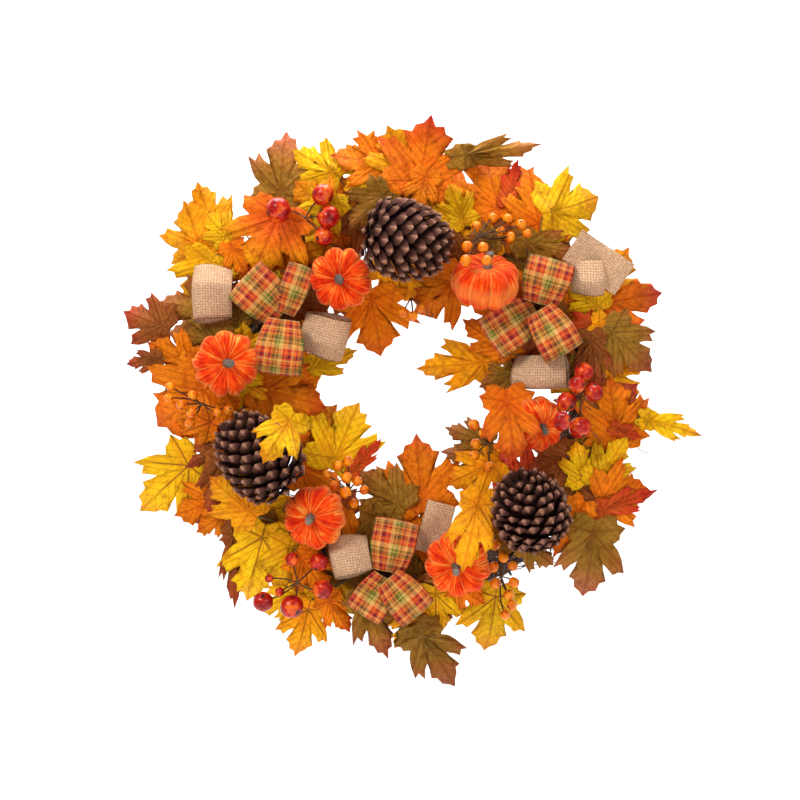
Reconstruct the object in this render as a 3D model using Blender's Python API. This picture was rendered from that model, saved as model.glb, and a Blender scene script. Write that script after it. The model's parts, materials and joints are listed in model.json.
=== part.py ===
"""A 24-inch harvest door wreath: a clamp frame of steel wire that grips a ring of twisted vines, dressed
with maple leaf sprays, berry picks, stuffed pumpkins, pine cones and three ribbon bows, and hung from a
hinged wire loop.

Everything is modelled in millimetres round the ring's centre and turned into metres at the end. The front
faces -Y and +Z is up. The origin is the point where a door hook bears on the loop, on the flat back plane.
"""

import math

import bmesh
import bpy
import numpy as np
from mathutils import Matrix, Vector

MM = 0.001

# The clamp frame, its hinge eye and the hanging loop.
RING_RADIUS = 190.0
FRAME_WIRE = 2.5
FRAME_STEPS = 36
PRONG_WIRE = 1.6
PRONG_REACH = 27.0
PRONG_ANGLES = (0, 60, 130, 180, 230, 300)
LOOP_WIRE = 1.1
LOOP_RISE = 34.0
LOOP_HALF_WIDTH = 15.0
EYE_RADIUS, EYE_BORE, EYE_LENGTH = 2.9, 1.55, 10.0
EYE_RISE = 4.6
PIVOT_DEPTH = 3.2
RING_CENTRE = Vector((0, 0, -LOOP_RISE - EYE_RISE - RING_RADIUS))

# The vine ring: three strands twisted round one centre line.
VINE_CENTRE_Y = -33.0
VINE_STRANDS = 3
VINE_TURNS = 4
VINE_WIRE = 10.2
VINE_HELIX = 13.2
VINE_POINTS = 48

# Leaves lie in layers on a dome of flat facets over the vine ring.
SECTORS = 12
CREST_OUTER, CREST_INNER = 206.0, 170.0
OUTER_SLOPE, INNER_SLOPE = 0.28, 0.24
DOME_FRONT = -60.0
LEAF_THICK, LEAF_PITCH = 0.6, 1.15
PETIOLE_THICK, PETIOLE_HALF_WIDTH, PETIOLE_OVERRUN = 0.36, 1.9, 3.0
POST_RADIUS = 1.4
SPRAY_COUNT = 12
SPRAY_RADIUS = 188.0
CELL = 1.5
HALF_GRID = 330.0
REST_GAP = 0.4

# Half of a maple leaf: across as a share of its breadth, along as a share of its length.
HALF_LEAF = ((0.20, -0.03), (0.43, 0.08), (0.29, 0.26), (0.50, 0.60), (0.17, 0.56))

# Leaves: base x, z, tip x, z from the ring's centre, breadth as a share of length, and colour.
LEAVES = (
    (-137, 203, -134, 281, 0.95, "olive"),
    (-72, 238, -123, 273, 0.85, "yellow"),
    (-25, 238, -67, 212, 0.90, "yellow"),
    (-18, 245, -80, 256, 0.80, "orange"),
    (5, 232, -12, 287, 0.90, "amber"),
    (8, 215, 18, 293, 0.90, "orange"),
    (20, 240, 6, 193, 0.70, "orange"),
    (-20, 218, -62, 180, 0.90, "olive"),
    (-80, 187, -118, 228, 0.90, "amber"),
    (-80, 215, -108, 165, 0.80, "yellow"),
    (-128, 198, -168, 135, 1.10, "amber"),
    (-222, 150, -232, 208, 0.90, "amber"),
    (-188, 166, -215, 194, 0.90, "yellow"),
    (-205, 152, -231, 104, 0.80, "yellow"),
    (-190, 165, -172, 130, 0.80, "orange"),
    (-190, 88, -264, 101, 0.75, "olive"),
    (-252, 72, -302, 92, 0.90, "brown"),
    (-190, 58, -252, 68, 0.80, "olive"),
    (-225, 30, -272, 55, 0.85, "orange"),
    (-262, 42, -298, 36, 0.60, "brown"),
    (-42, 112, -30, 50, 1.00, "orange"),
    (-112, 28, -57, 50, 0.50, "yellow"),
    (-165, 12, -90, -8, 0.80, "orange"),
    (-125, 22, -112, -45, 0.80, "orange"),
    (-118, -2, -178, -22, 0.70, "amber"),
    (-118, -15, -147, -64, 0.75, "yellow"),
    (-215, 12, -268, -30, 0.90, "orange"),
    (-200, -30, -248, -5, 0.80, "orange"),
    (-222, -62, -284, -117, 0.80, "yellow"),
    (-192, -50, -234, -72, 0.70, "russet"),
    (-195, -105, -246, -124, 0.95, "orange"),
    (-188, -118, -223, -141, 0.70, "orange"),
    (-195, -55, -210, -120, 0.50, "brown"),
    (-158, -124, -204, -83, 0.80, "amber"),
    (-184, -130, -184, -218, 0.30, "brown"),
    (-150, -132, -171, -213, 0.75, "yellow"),
    (-122, -145, -138, -205, 0.80, "yellow"),
    (-110, -205, -161, -223, 0.60, "yellow"),
    (-118, -208, -72, -208, 0.50, "yellow"),
    (-103, -212, -118, -270, 0.75, "amber"),
    (-88, -205, -63, -244, 0.70, "orange"),
    (-50, -200, -23, -268, 0.75, "olive"),
    (-118, -160, -86, -204, 0.80, "russet"),
    (-82, -76, -55, -8, 0.95, "yellow"),
    (-58, -78, -30, -42, 0.60, "russet"),
    (15, -122, 8, -42, 0.90, "orange"),
    (-3, -118, -50, -78, 0.85, "olive"),
    (-38, -112, -45, -178, 0.40, "olive"),
    (28, -198, 28, -246, 1.10, "yellow"),
    (10, -222, -14, -262, 0.70, "amber"),
    (5, -238, 48, -303, 0.90, "olive"),
    (93, -198, 84, -266, 0.90, "yellow"),
    (45, -192, 78, -216, 0.80, "orange"),
    (74, -97, 50, -176, 0.65, "amber"),
    (96, -65, 42, -91, 0.75, "amber"),
    (92, -64, 38, -57, 0.55, "olive"),
    (88, -48, 40, -33, 0.60, "olive"),
    (125, 8, 126, -68, 0.75, "orange"),
    (220, -50, 211, 19, 0.95, "orange"),
    (212, -30, 244, -40, 0.80, "russet"),
    (243, -20, 309, -38, 0.35, "yellow"),
    (185, -92, 176, -47, 0.85, "yellow"),
    (196, -92, 228, -43, 0.75, "yellow"),
    (200, -108, 251, -92, 0.90, "amber"),
    (196, -124, 260, -100, 0.55, "russet"),
    (186, -108, 149, -166, 0.50, "orange"),
    (196, -128, 187, -209, 0.75, "olive"),
    (118, -150, 151, -176, 0.80, "olive"),
    (56, 122, 8, 94, 0.80, "orange"),
    (93, 38, 12, 32, 0.65, "amber"),
    (108, 46, 58, 82, 0.60, "russet"),
    (114, 25, 76, 13, 0.80, "olive"),
    (95, 190, 80, 256, 1.00, "orange"),
    (44, 252, 137, 268, 0.30, "olive"),
    (102, 202, 115, 250, 0.45, "russet"),
    (140, 174, 131, 236, 0.50, "orange"),
    (140, 192, 202, 212, 1.05, "yellow"),
    (112, 166, 179, 150, 0.50, "olive"),
    (198, 103, 232, 157, 0.95, "amber"),
    (186, 92, 262, 114, 0.75, "orange"),
    (205, 92, 167, 121, 0.80, "yellow"),
    (198, 80, 165, 72, 0.80, "russet"),
    (192, 78, 236, 64, 0.70, "amber"),
    (205, 76, 255, 30, 0.80, "olive"),
    (190, 70, 196, 12, 0.60, "brown"),
    (60, 180, 42, 224, 0.70, "yellow"),
    (97, 165, 62, 171, 0.80, "olive"),
)

# Ribbon: loops are (centre x, z, heading in degrees, length, width, depth), in three bows.
RIBBON_THICK = 1.2
PLAID_LOOPS = {
    "bow_1_plaid_loop_1": (-157, 109, 135, 44, 46, 28),
    "bow_1_plaid_loop_2": (-111, 115, 90, 44, 25, 26),
    "bow_1_plaid_loop_3": (-138, 50, 270, 48, 46, 28),
    "bow_2_plaid_loop_1": (146, 125, 80, 38, 46, 27),
    "bow_2_plaid_loop_2": (102, 76, 220, 44, 44, 30),
    "bow_2_plaid_loop_3": (158, 66, 285, 38, 40, 27),
    "bow_3_plaid_loop_1": (-14, -152, 85, 46, 43, 28),
    "bow_3_plaid_loop_2": (-44, -208, 255, 36, 37, 26),
    "bow_3_plaid_loop_3": (4, -207, 290, 36, 39, 26),
}
BURLAP_LOOPS = {
    "bow_1_burlap_loop_1": (-208, 111, 180, 34, 54, 24),
    "bow_1_burlap_loop_2": (-87, 64, 345, 42, 40, 26),
    "bow_2_burlap_loop_1": (190, 126, 0, 28, 34, 22),
    "bow_2_burlap_loop_2": (137, 25, 270, 28, 56, 24),
    "bow_3_burlap_loop": (-64, -164, 190, 34, 38, 24),
}
# Flat ribbon tails: centre x, z, heading, length, width.
BACK_TAIL = (196, 146, 330, 62, 42)
FRONT_TAIL = (25, -138, 75, 54, 28)
BOW_TIES = ((-130, 85), (135, 95), (-23, -185))
TIE_RADIUS, TIE_DEPTH = 4.0, 14.0

# Stuffed pumpkins: centre x, z, radius, axis of the stem (x, y, z).
PUMPKINS = (
    (-68, 126, 30, (-0.10, -1.0, -0.10)),
    (75, 124, 31, (0.05, -0.35, 1.0)),
    (-192, 38, 31, (0.12, -1.0, 0.0)),
    (-100, -121, 31, (-0.25, -1.0, -0.05)),
    (51, -169, 31, (-0.15, -1.0, -0.15)),
    (134, -27, 27, (0.35, -1.0, -0.30)),
)
PUMPKIN_HEIGHT = 0.74
PUMPKIN_RIBS = 9
STEM_LENGTH, STEM_BASE, STEM_TIP = 15.0, 4.2, 3.2

# Pine cones: centre x, z, radius, half length, axis from butt to tip (x, y, z).
CONES = (
    (1, 163, 42, 46, (0.95, -0.10, -0.25)),
    (-156, -60, 41, 48, (-0.62, -0.15, 0.75)),
    (125, -116, 40, 42, (-0.35, -0.45, 0.80)),
)
CONE_STEP, CONE_FULLNESS = 0.06, 1.07

# Berry picks: the stem's fork x, z, then each berry x, z, radius, and how far it stands forward.
YELLOW_PICKS = {
    "orange_berries_1": (
        (70, 166, 44),
        ((87, 188, 5, 8), (103, 187, 5, 8), (70, 179, 5, 8), (95, 174, 5, 12), (117, 181, 5, 8)),
        ((123, 172, 4.6, 8), (105, 168, 5, 14), (60, 156, 5.4, 44), (76, 155, 5, 50)),
        ((58, 141, 5.6, 60), (79, 141, 5, 63)),
    ),
    "orange_berries_2": (
        (-216, -6, 8),
        ((-249, 12, 4.6, 8), (-250, 0, 4.6, 8), (-237, -7, 4.8, 12), (-226, -16, 4.8, 14)),
        ((-225, 3, 4.8, 10), (-228, -26, 4.8, 8), (-199, -15, 4.8, 12), (-188, -12, 4.8, 8)),
    ),
    "orange_berries_3": (
        (-62, -97, 14),
        ((-86, -80, 4.6, 8), (-74, -71, 5, 10), (-64, -66, 5, 10), (-65, -83, 5.4, 16)),
        ((-54, -87, 4.8, 12), (-78, -91, 4.8, 16), (-66, -98, 5.4, 22), (-58, -110, 4.8, 10)),
        ((-47, -96, 4.6, 8),),
    ),
    "orange_berries_4": (
        (96, -186, 8),
        ((90, -153, 5, 8), (98, -166, 5, 12), (108, -175, 4.8, 8), (88, -176, 5.2, 12)),
        ((90, -193, 5.2, 12), (109, -192, 5.2, 14), (104, -205, 5, 10), (107, -216, 5, 8)),
        ((100, -226, 4.6, 8),),
    ),
    "orange_berries_5": (
        (85, -46, 8),
        ((68, -28, 5.4, 10), (78, -36, 4.8, 14), (89, -33, 4.8, 10), (70, -48, 5, 8)),
        ((94, -52, 5, 14), (69, -60, 4.8, 8), (84, -72, 4.8, 8), (98, -26, 4.8, 8)),
    ),
    "orange_berries_6": (
        (2, 104, 6),
        ((4, 86, 4.6, 10), (-6, 90, 4.4, 6), (12, 94, 4.2, 6)),
    ),
}
RED_PICKS = {
    "red_berries_1": (
        (-108, 188, 12),
        ((-136, 196, 12, 14), (-90, 212, 10.5, 13), (-84, 189, 11, 14), (-89, 169, 9, 12)),
    ),
    "red_berries_2": (
        (-116, -192, 10),
        ((-152, -212, 9.5, 12), (-122, -217, 11, 13), (-94, -171, 8.5, 11), (-90, -199, 9.5, 13)),
        ((-122, -168, 6.5, 9), (-135, -202, 4.5, 9), (-146, -188, 4, 9)),
    ),
    "red_berries_3": (
        (178, 3, 14),
        ((182, 27, 9, 12), (192, 6, 9, 13), (164, -4, 9.5, 15), (157, -24, 9, 44)),
        ((178, -31, 10.5, 14), (174, 14, 8, 26)),
    ),
}
PICK_WIRE, FORK_RADIUS = 0.9, 1.9

COLOURS = {
    "steel": ((0.10, 0.10, 0.11), 0.45, 0.9),
    "vine": ((0.09, 0.06, 0.06), 0.85, 0.0),
    "yellow": ((0.87, 0.52, 0.03), 0.7, 0.0),
    "amber": ((0.83, 0.33, 0.02), 0.7, 0.0),
    "orange": ((0.75, 0.20, 0.02), 0.7, 0.0),
    "russet": ((0.45, 0.05, 0.02), 0.7, 0.0),
    "olive": ((0.30, 0.19, 0.05), 0.75, 0.0),
    "brown": ((0.24, 0.09, 0.04), 0.75, 0.0),
    "plaid": ((0.50, 0.20, 0.10), 0.85, 0.0),
    "burlap": ((0.60, 0.42, 0.27), 0.95, 0.0),
    "velvet": ((0.83, 0.12, 0.02), 0.8, 0.0),
    "stem": ((0.13, 0.13, 0.08), 0.7, 0.0),
    "cone": ((0.10, 0.06, 0.05), 0.85, 0.0),
    "orange_berry": ((0.85, 0.25, 0.01), 0.25, 0.0),
    "red_berry": ((0.42, 0.01, 0.01), 0.2, 0.0),
}


def clear_scene():
    for obj in list(bpy.data.objects):
        bpy.data.objects.remove(obj, do_unlink=True)


def material(key):
    """The Principled material of one finish, made once."""
    made = bpy.data.materials.get(key)
    if made is None:
        colour, roughness, metallic = COLOURS[key]
        made = bpy.data.materials.new(key)
        made.use_nodes = True
        shader = made.node_tree.nodes["Principled BSDF"]
        shader.inputs["Base Color"].default_value = (*colour, 1.0)
        shader.inputs["Roughness"].default_value = roughness
        shader.inputs["Metallic"].default_value = metallic
        made.diffuse_color = (*colour, 1.0)
    return made


def add_piece(name, bm, finish, parent, smooth=False):
    """One named object, from a bmesh in millimetres round the ring's centre."""
    bm.normal_update()
    bmesh.ops.recalc_face_normals(bm, faces=bm.faces[:])
    bmesh.ops.translate(bm, verts=bm.verts[:], vec=RING_CENTRE)
    bmesh.ops.scale(bm, verts=bm.verts[:], vec=(MM, MM, MM))
    mesh = bpy.data.meshes.new(name)
    bm.to_mesh(mesh)
    bm.free()
    if smooth:
        mesh.shade_smooth()
        mesh.set_sharp_from_angle(angle=math.radians(40))
    mesh.materials.append(material(finish))
    obj = bpy.data.objects.new(name, mesh)
    bpy.context.scene.collection.objects.link(obj)
    if parent:
        obj.parent = parent
        obj.matrix_parent_inverse = parent.matrix_world.inverted()
    return obj


def united(pieces):
    """A bmesh of all these bmeshes joined into one body."""
    helpers = bpy.data.collections.new("helpers")
    objects = []
    for bm in pieces:
        bm.normal_update()
        bmesh.ops.recalc_face_normals(bm, faces=bm.faces[:])
        mesh = bpy.data.meshes.new("helper")
        bm.to_mesh(mesh)
        bm.free()
        objects.append(bpy.data.objects.new("helper", mesh))
    bpy.context.scene.collection.objects.link(objects[0])
    for obj in objects[1:]:
        helpers.objects.link(obj)
    join = objects[0].modifiers.new("join", "BOOLEAN")
    join.operation = "UNION"
    join.operand_type = "COLLECTION"
    join.collection = helpers
    bpy.context.view_layer.update()
    evaluated = objects[0].evaluated_get(bpy.context.evaluated_depsgraph_get())
    result = bmesh.new()
    result.from_mesh(evaluated.to_mesh())
    evaluated.to_mesh_clear()
    for obj in objects:
        bpy.data.meshes.remove(obj.data)
    bpy.data.collections.remove(helpers)
    return result


def turn_to(axis):
    """The rotation that takes +Z to this axis."""
    return Vector((0, 0, 1)).rotation_difference(Vector(axis)).to_matrix().to_4x4()


def rod(start, end, radius, sides):
    """A closed straight rod between two points."""
    start, end = Vector(start), Vector(end)
    bm = bmesh.new()
    place = Matrix.Translation((start + end) / 2) @ turn_to(end - start)
    bmesh.ops.create_cone(
        bm, cap_ends=True, segments=sides, radius1=radius, radius2=radius,
        depth=(end - start).length, matrix=place,
    )
    return bm


def ball(centre, radius, around, rings):
    bm = bmesh.new()
    bmesh.ops.create_uvsphere(
        bm, u_segments=around, v_segments=rings, radius=radius, matrix=Matrix.Translation(centre)
    )
    return bm


def turned(around, rings, form, place):
    """A closed round form: form(polar, turn) gives a point's distance from the axis and its height."""
    bm = bmesh.new()
    bmesh.ops.create_uvsphere(bm, u_segments=around, v_segments=rings, radius=1)
    for vert in bm.verts:
        polar = math.acos(max(-1.0, min(1.0, vert.co.z)))
        turn = math.atan2(vert.co.y, vert.co.x)
        out, height = form(polar, turn)
        vert.co = Vector((out * math.cos(turn), out * math.sin(turn), height))
    bm.transform(place)
    return bm


# Frame, hanging loop and vine ring


def frame_ring(parent):
    """The steel ring, flat-backed at y = 0, with welded clamp prongs and the hinge eye on top."""
    ring = bmesh.new()
    corner = FRAME_WIRE / math.cos(math.pi / 6)
    place = Matrix.Translation((RING_RADIUS, -FRAME_WIRE, 0)) @ Matrix.Rotation(math.pi / 6, 4, "Z")
    bmesh.ops.create_circle(ring, segments=6, radius=corner, matrix=place)
    bmesh.ops.spin(
        ring, geom=ring.verts[:] + ring.edges[:], cent=(0, 0, 0), axis=(0, 1, 0),
        angle=math.tau, steps=FRAME_STEPS, use_merge=True, use_duplicate=False,
    )
    pieces = [ring, *(prong(math.radians(angle)) for angle in PRONG_ANGLES), hinge_eye()]
    return add_piece("clamp_frame", united(pieces), "steel", parent)


def prong(angle):
    """A wire clamp bent round the vine's section from the back of the ring, open at the front."""
    bm = bmesh.new()
    bmesh.ops.create_circle(bm, cap_ends=True, segments=5, radius=PRONG_WIRE)
    steps, sweep = 8, math.radians(236)
    centre = Vector((RING_RADIUS, VINE_CENTRE_Y, 0))
    half = (math.tau - sweep) / 2

    def point(step):
        turn = -math.pi / 2 + half + sweep * step / steps
        return centre + Vector((PRONG_REACH * math.cos(turn), PRONG_REACH * math.sin(turn), 0))

    lead = (point(1) - point(0)).normalized()
    bm.transform(Matrix.Translation(point(0)) @ turn_to(lead))
    face = bm.faces[:][0]
    heading = lead
    for step in range(1, steps + 1):
        made = bmesh.ops.extrude_discrete_faces(bm, faces=[face])
        face = made["faces"][0]
        after = (point(min(step + 1, steps)) - point(step - 1)).normalized()
        turn = heading.rotation_difference(after).to_matrix()
        bmesh.ops.translate(bm, verts=face.verts[:], vec=point(step) - point(step - 1))
        bmesh.ops.rotate(bm, verts=face.verts[:], cent=point(step), matrix=turn)
        heading = after
    bmesh.ops.contextual_create(bm, geom=[edge for edge in bm.edges if edge.is_boundary])
    bm.transform(Matrix.Rotation(-angle, 4, "Y"))
    return bm


def hinge_eye():
    """A short tube welded on top of the ring, for the loop's straight bar to turn in."""
    bm = bmesh.new()
    centre = Vector((0, -PIVOT_DEPTH, RING_RADIUS + EYE_RISE))
    place = Matrix.Translation(centre - Vector((EYE_LENGTH / 2, 0, 0))) @ turn_to((1, 0, 0))
    rings = []
    for radius in (EYE_RADIUS, EYE_BORE):
        made = bmesh.ops.create_circle(bm, segments=12, radius=radius, matrix=place)
        rings.append(made["verts"])
    edges = [edge for edge in bm.edges]
    bmesh.ops.bridge_loops(bm, edges=edges)
    made = bmesh.ops.extrude_face_region(bm, geom=bm.faces[:])
    moved = [item for item in made["geom"] if isinstance(item, bmesh.types.BMVert)]
    bmesh.ops.translate(bm, verts=moved, vec=(EYE_LENGTH, 0, 0))
    return bm


def tube_curve(name, points, radius, resolution, finish, parent):
    """A closed wire through these points, in millimetres round the ring's centre."""
    curve = bpy.data.curves.new(name, "CURVE")
    curve.dimensions = "3D"
    curve.bevel_depth = radius * MM
    curve.bevel_resolution = resolution
    spline = curve.splines.new("POLY")
    spline.points.add(len(points) - 1)
    for spot, point in zip(spline.points, points):
        spot.co = (*((Vector(point) + RING_CENTRE) * MM), 1)
    spline.use_cyclic_u = True
    spline.use_smooth = True
    curve.materials.append(material(finish))
    obj = bpy.data.objects.new(name, curve)
    bpy.context.scene.collection.objects.link(obj)
    if parent:
        obj.parent = parent
        obj.matrix_parent_inverse = parent.matrix_world.inverted()
    return obj


def hanging_loop():
    """A D of wire: its straight bar turns in the eye, and its round top goes over the hook."""
    steps = 16
    base = RING_RADIUS + EYE_RISE
    rise = LOOP_RISE + LOOP_WIRE
    points = [(0, -PIVOT_DEPTH, base)]
    for step in range(steps + 1):
        turn = math.pi * step / steps
        points.append(
            (LOOP_HALF_WIDTH * math.cos(turn), -PIVOT_DEPTH, base + rise * math.sin(turn))
        )
    return tube_curve("hanging_loop", points, LOOP_WIRE, 2, "steel", None)


def vine_strand(index, parent):
    """One strand of the twisted vine ring, a closed helix round the ring's centre line."""
    points = []
    for step in range(VINE_POINTS):
        around = math.tau * step / VINE_POINTS
        twist = VINE_TURNS * around + math.tau * index / VINE_STRANDS
        out = RING_RADIUS + VINE_HELIX * math.cos(twist)
        depth = VINE_CENTRE_Y + VINE_HELIX * math.sin(twist)
        points.append((out * math.cos(around), depth, out * math.sin(around)))
    return tube_curve(f"vine_strand_{index + 1}", points, VINE_WIRE, 1, "vine", parent)


# Leaves


def sector_normal(index):
    angle = math.tau * index / SECTORS
    return Vector((math.cos(angle), math.sin(angle)))


def reach(x, z):
    """Distance from the centre, measured square to the twelve-sided dome's own sides."""
    normals = [sector_normal(index) for index in range(SECTORS)]
    found = x * normals[0].x + z * normals[0].y
    for normal in normals[1:]:
        found = np.maximum(found, x * normal.x + z * normal.y)
    return found


def droop(x, z):
    """How far the dome falls back from its crest."""
    out = reach(x, z)
    fall = OUTER_SLOPE * np.maximum(0, out - CREST_OUTER)
    return fall + INNER_SLOPE * np.maximum(0, CREST_INNER - out)


def fold_lines(outline):
    """The dome's fold lines that may cross an outline, as (point, normal) in the plane."""
    turns = [math.atan2(point[1], point[0]) / math.tau * SECTORS for point in outline]
    middle = math.atan2(sum(p[1] for p in outline), sum(p[0] for p in outline)) / math.tau * SECTORS
    turns = [middle + (turn - middle + SECTORS / 2) % SECTORS - SECTORS / 2 for turn in turns]
    sectors = range(round(min(turns)), round(max(turns)) + 1)
    lines = []
    for sector in sectors:
        normal = sector_normal(sector)
        lines.append((normal * CREST_OUTER, normal))
        lines.append((normal * CREST_INNER, normal))
        if sector != sectors[-1]:
            edge = math.tau * (sector + 0.5) / SECTORS
            lines.append((Vector((0, 0)), Vector((-math.sin(edge), math.cos(edge)))))
    return lines


def domed_plate(outline, back, thickness):
    """A thin plate of this outline, folded over the dome's facets."""
    bm = bmesh.new()
    bm.faces.new([bm.verts.new((point[0], 0, point[1])) for point in outline])
    for point, normal in fold_lines(outline):
        bmesh.ops.bisect_plane(
            bm, geom=bm.verts[:] + bm.edges[:] + bm.faces[:], dist=0.01,
            plane_co=(point.x, 0, point.y), plane_no=(normal.x, 0, normal.y),
        )
    made = bmesh.ops.extrude_face_region(bm, geom=bm.faces[:])
    front = [item for item in made["geom"] if isinstance(item, bmesh.types.BMVert)]
    bmesh.ops.translate(bm, verts=front, vec=(0, -thickness, 0))
    for vert in bm.verts:
        vert.co.y += back + droop(vert.co.x, vert.co.z)
    return bm


def leaf_outline(base, tip, breadth):
    axis = tip - base
    across = Vector((axis.y, -axis.x)) * breadth
    right = [base + axis * along + across * out for out, along in HALF_LEAF]
    left = [base + axis * along - across * out for out, along in reversed(HALF_LEAF)]
    return right + [tip] + left


def petiole_outline(node, base, tip):
    """The strip that joins a leaf's base to its spray's node."""
    inner = base + (tip - base) * 0.08
    lead = (inner - node).normalized()
    side = Vector((lead.y, -lead.x)) * PETIOLE_HALF_WIDTH
    start = node - lead * PETIOLE_OVERRUN
    return [start - side, start + side, inner + side, inner - side]


def strip_outline(x, z, heading, length, width):
    lead = Vector((math.cos(math.radians(heading)), math.sin(math.radians(heading))))
    side = Vector((lead.y, -lead.x)) * width / 2
    centre, half = Vector((x, z)), lead * length / 2
    return [centre - half - side, centre - half + side, centre + half + side, centre + half - side]


class LayerMap:
    """The leaf layers laid so far, on a grid over the wreath's face."""

    def __init__(self):
        axis = np.arange(-HALF_GRID, HALF_GRID, CELL)
        self.x, self.z = np.meshgrid(axis, axis, indexing="ij")
        self.layer = np.zeros(self.x.shape, int)
        self.front = np.zeros(self.x.shape)
        self.fall = droop(self.x, self.z)

    def cells_in(self, outline):
        inside = np.zeros(self.x.shape, bool)
        for (x0, z0), (x1, z1) in zip(outline, outline[1:] + outline[:1]):
            if z0 != z1:
                crossed = (z0 <= self.z) != (z1 <= self.z)
                inside ^= crossed & (self.x < x0 + (self.z - z0) * (x1 - x0) / (z1 - z0))
        for axis in (0, 1):
            inside = inside | np.roll(inside, 1, axis) | np.roll(inside, -1, axis)
        return inside

    def lay(self, outlines):
        """Lays a leaf over whatever its outlines cross, and returns the y of its back on the crest."""
        cells = np.zeros(self.x.shape, bool)
        for outline in outlines:
            cells |= self.cells_in(outline)
        layer = self.layer[cells].max() + 1
        self.layer[cells] = layer
        back = DOME_FRONT - LEAF_PITCH * layer
        self.front[cells] = (back - LEAF_THICK + self.fall)[cells]
        return back

    def rest(self, x, z, radius):
        """The y where a piece of this radius comes to rest on the leaves."""
        near = np.hypot(self.x - x, self.z - z) < radius
        return min(self.front[near].min(), DOME_FRONT) - REST_GAP


def spray_nodes():
    nodes = []
    for index in range(SPRAY_COUNT):
        angle = math.tau * (index + 0.5) / SPRAY_COUNT
        nodes.append(Vector((math.cos(angle), math.sin(angle))) * SPRAY_RADIUS)
    return nodes


def leaf_sprays(layers, parent):
    """Twelve sprays: each leaf joins the nearest node, and every second spray is laid first."""
    nodes = spray_nodes()
    groups = [[] for _ in nodes]
    for x0, z0, x1, z1, breadth, colour in LEAVES:
        base, tip = Vector((x0, z0)), Vector((x1, z1))
        nearest = min(range(SPRAY_COUNT), key=lambda index: (nodes[index] - base).length)
        groups[nearest].append((base, tip, breadth, colour))
    for index in (*range(0, SPRAY_COUNT, 2), *range(1, SPRAY_COUNT, 2)):
        node, pieces, backs = nodes[index], [], []
        for base, tip, breadth, _ in groups[index]:
            blade = leaf_outline(base, tip, breadth)
            petiole = petiole_outline(node, base, tip)
            back = layers.lay([blade, petiole])
            backs.append(back)
            inset = (LEAF_THICK - PETIOLE_THICK) / 2
            pieces.append(domed_plate(blade, back, LEAF_THICK))
            pieces.append(domed_plate(petiole, back - inset, PETIOLE_THICK))
        fall = float(droop(node.x, node.y))
        rear = (node.x, max(backs) + fall - 0.05, node.y)
        front = (node.x, min(backs) + fall - LEAF_THICK + 0.05, node.y)
        pieces.append(rod(rear, front, POST_RADIUS, 8))
        colours = [colour for *_, colour in groups[index]]
        finish = max(sorted(set(colours)), key=colours.count)
        add_piece(f"leaf_spray_{index + 1:02d}", united(pieces), finish, parent)


# Ribbon bows


def ribbon_loop(name, loop, finish, rest, parent):
    """An open loop of wide ribbon, pinched where it meets its bow's tie."""
    x, z, heading, length, width, depth = loop
    bm = bmesh.new()
    steps = 14
    rims = []
    for inset in (0, RIBBON_THICK):
        rim = []
        for step in range(steps):
            turn = math.tau * step / steps
            swell = 0.55 + 0.45 * (1 + math.cos(turn)) / 2
            out = (length / 2 - inset) * math.cos(turn)
            rim.append(bm.verts.new((out, (depth / 2 * swell - inset) * math.sin(turn), -width / 2)))
        rims.append(rim)
        for here, after in zip(rim, rim[1:] + rim[:1]):
            bm.edges.new((here, after))
    bmesh.ops.bridge_loops(bm, edges=bm.edges[:])
    made = bmesh.ops.extrude_face_region(bm, geom=bm.faces[:])
    moved = [item for item in made["geom"] if isinstance(item, bmesh.types.BMVert)]
    bmesh.ops.translate(bm, verts=moved, vec=(0, 0, width))
    turn = Matrix.Rotation(-math.radians(heading), 4, "Y")
    bm.transform(Matrix.Translation((x, rest - depth / 2, z)) @ turn)
    return add_piece(name, bm, finish, parent, smooth=True)


def bow_tie(index, x, z, rest, parent):
    """The wound wire that gathers one bow's loops."""
    bm = bmesh.new()
    ribs = 4
    for rib in range(ribs + 1):
        radius = TIE_RADIUS if rib % 2 else TIE_RADIUS * 0.8
        depth = rest - TIE_DEPTH * rib / ribs
        made = bmesh.ops.create_circle(
            bm, cap_ends=rib in (0, ribs), segments=10, radius=radius,
            matrix=Matrix.Translation((x, depth, z)) @ turn_to((0, -1, 0)),
        )
        ring = {edge for vert in made["verts"] for edge in vert.link_edges}
        if rib:
            bmesh.ops.bridge_loops(bm, edges=[*ring, *before])
        before = ring
    return add_piece(f"bow_{index + 1}_tie", bm, "steel", parent, smooth=True)


# Pumpkins, cones and berries


def pumpkin(index, x, z, radius, axis, rest, parent):
    """A stuffed velvet pumpkin, dimpled at both ends, with its stem standing in the front dimple."""
    height = radius * PUMPKIN_HEIGHT
    lean = Vector(axis).normalized()
    depth = math.hypot(height * lean.y, radius * math.hypot(lean.x, lean.z))
    place = Matrix.Translation((x, rest - depth, z)) @ turn_to(axis)

    def form(polar, turn):
        rib = 1 - 0.08 * (1 - abs(math.cos(PUMPKIN_RIBS * turn / 2)))
        return radius * math.sin(polar) ** 0.8 * rib, height * math.cos(polar) * (0.62 + 0.5 * math.sin(polar))

    body = turned(PUMPKIN_RIBS * 2, 8, form, place)
    add_piece(f"pumpkin_{index + 1}", body, "velvet", parent, smooth=True)
    stem = bmesh.new()
    bmesh.ops.create_cone(
        stem, cap_ends=True, segments=7, radius1=STEM_BASE, radius2=STEM_TIP, depth=STEM_LENGTH,
        matrix=Matrix.Translation((0, 0, height * 0.62 + STEM_LENGTH / 2 + 1.2)),
    )
    stem.transform(place)
    add_piece(f"pumpkin_{index + 1}_stem", stem, "stem", parent, smooth=True)


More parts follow.
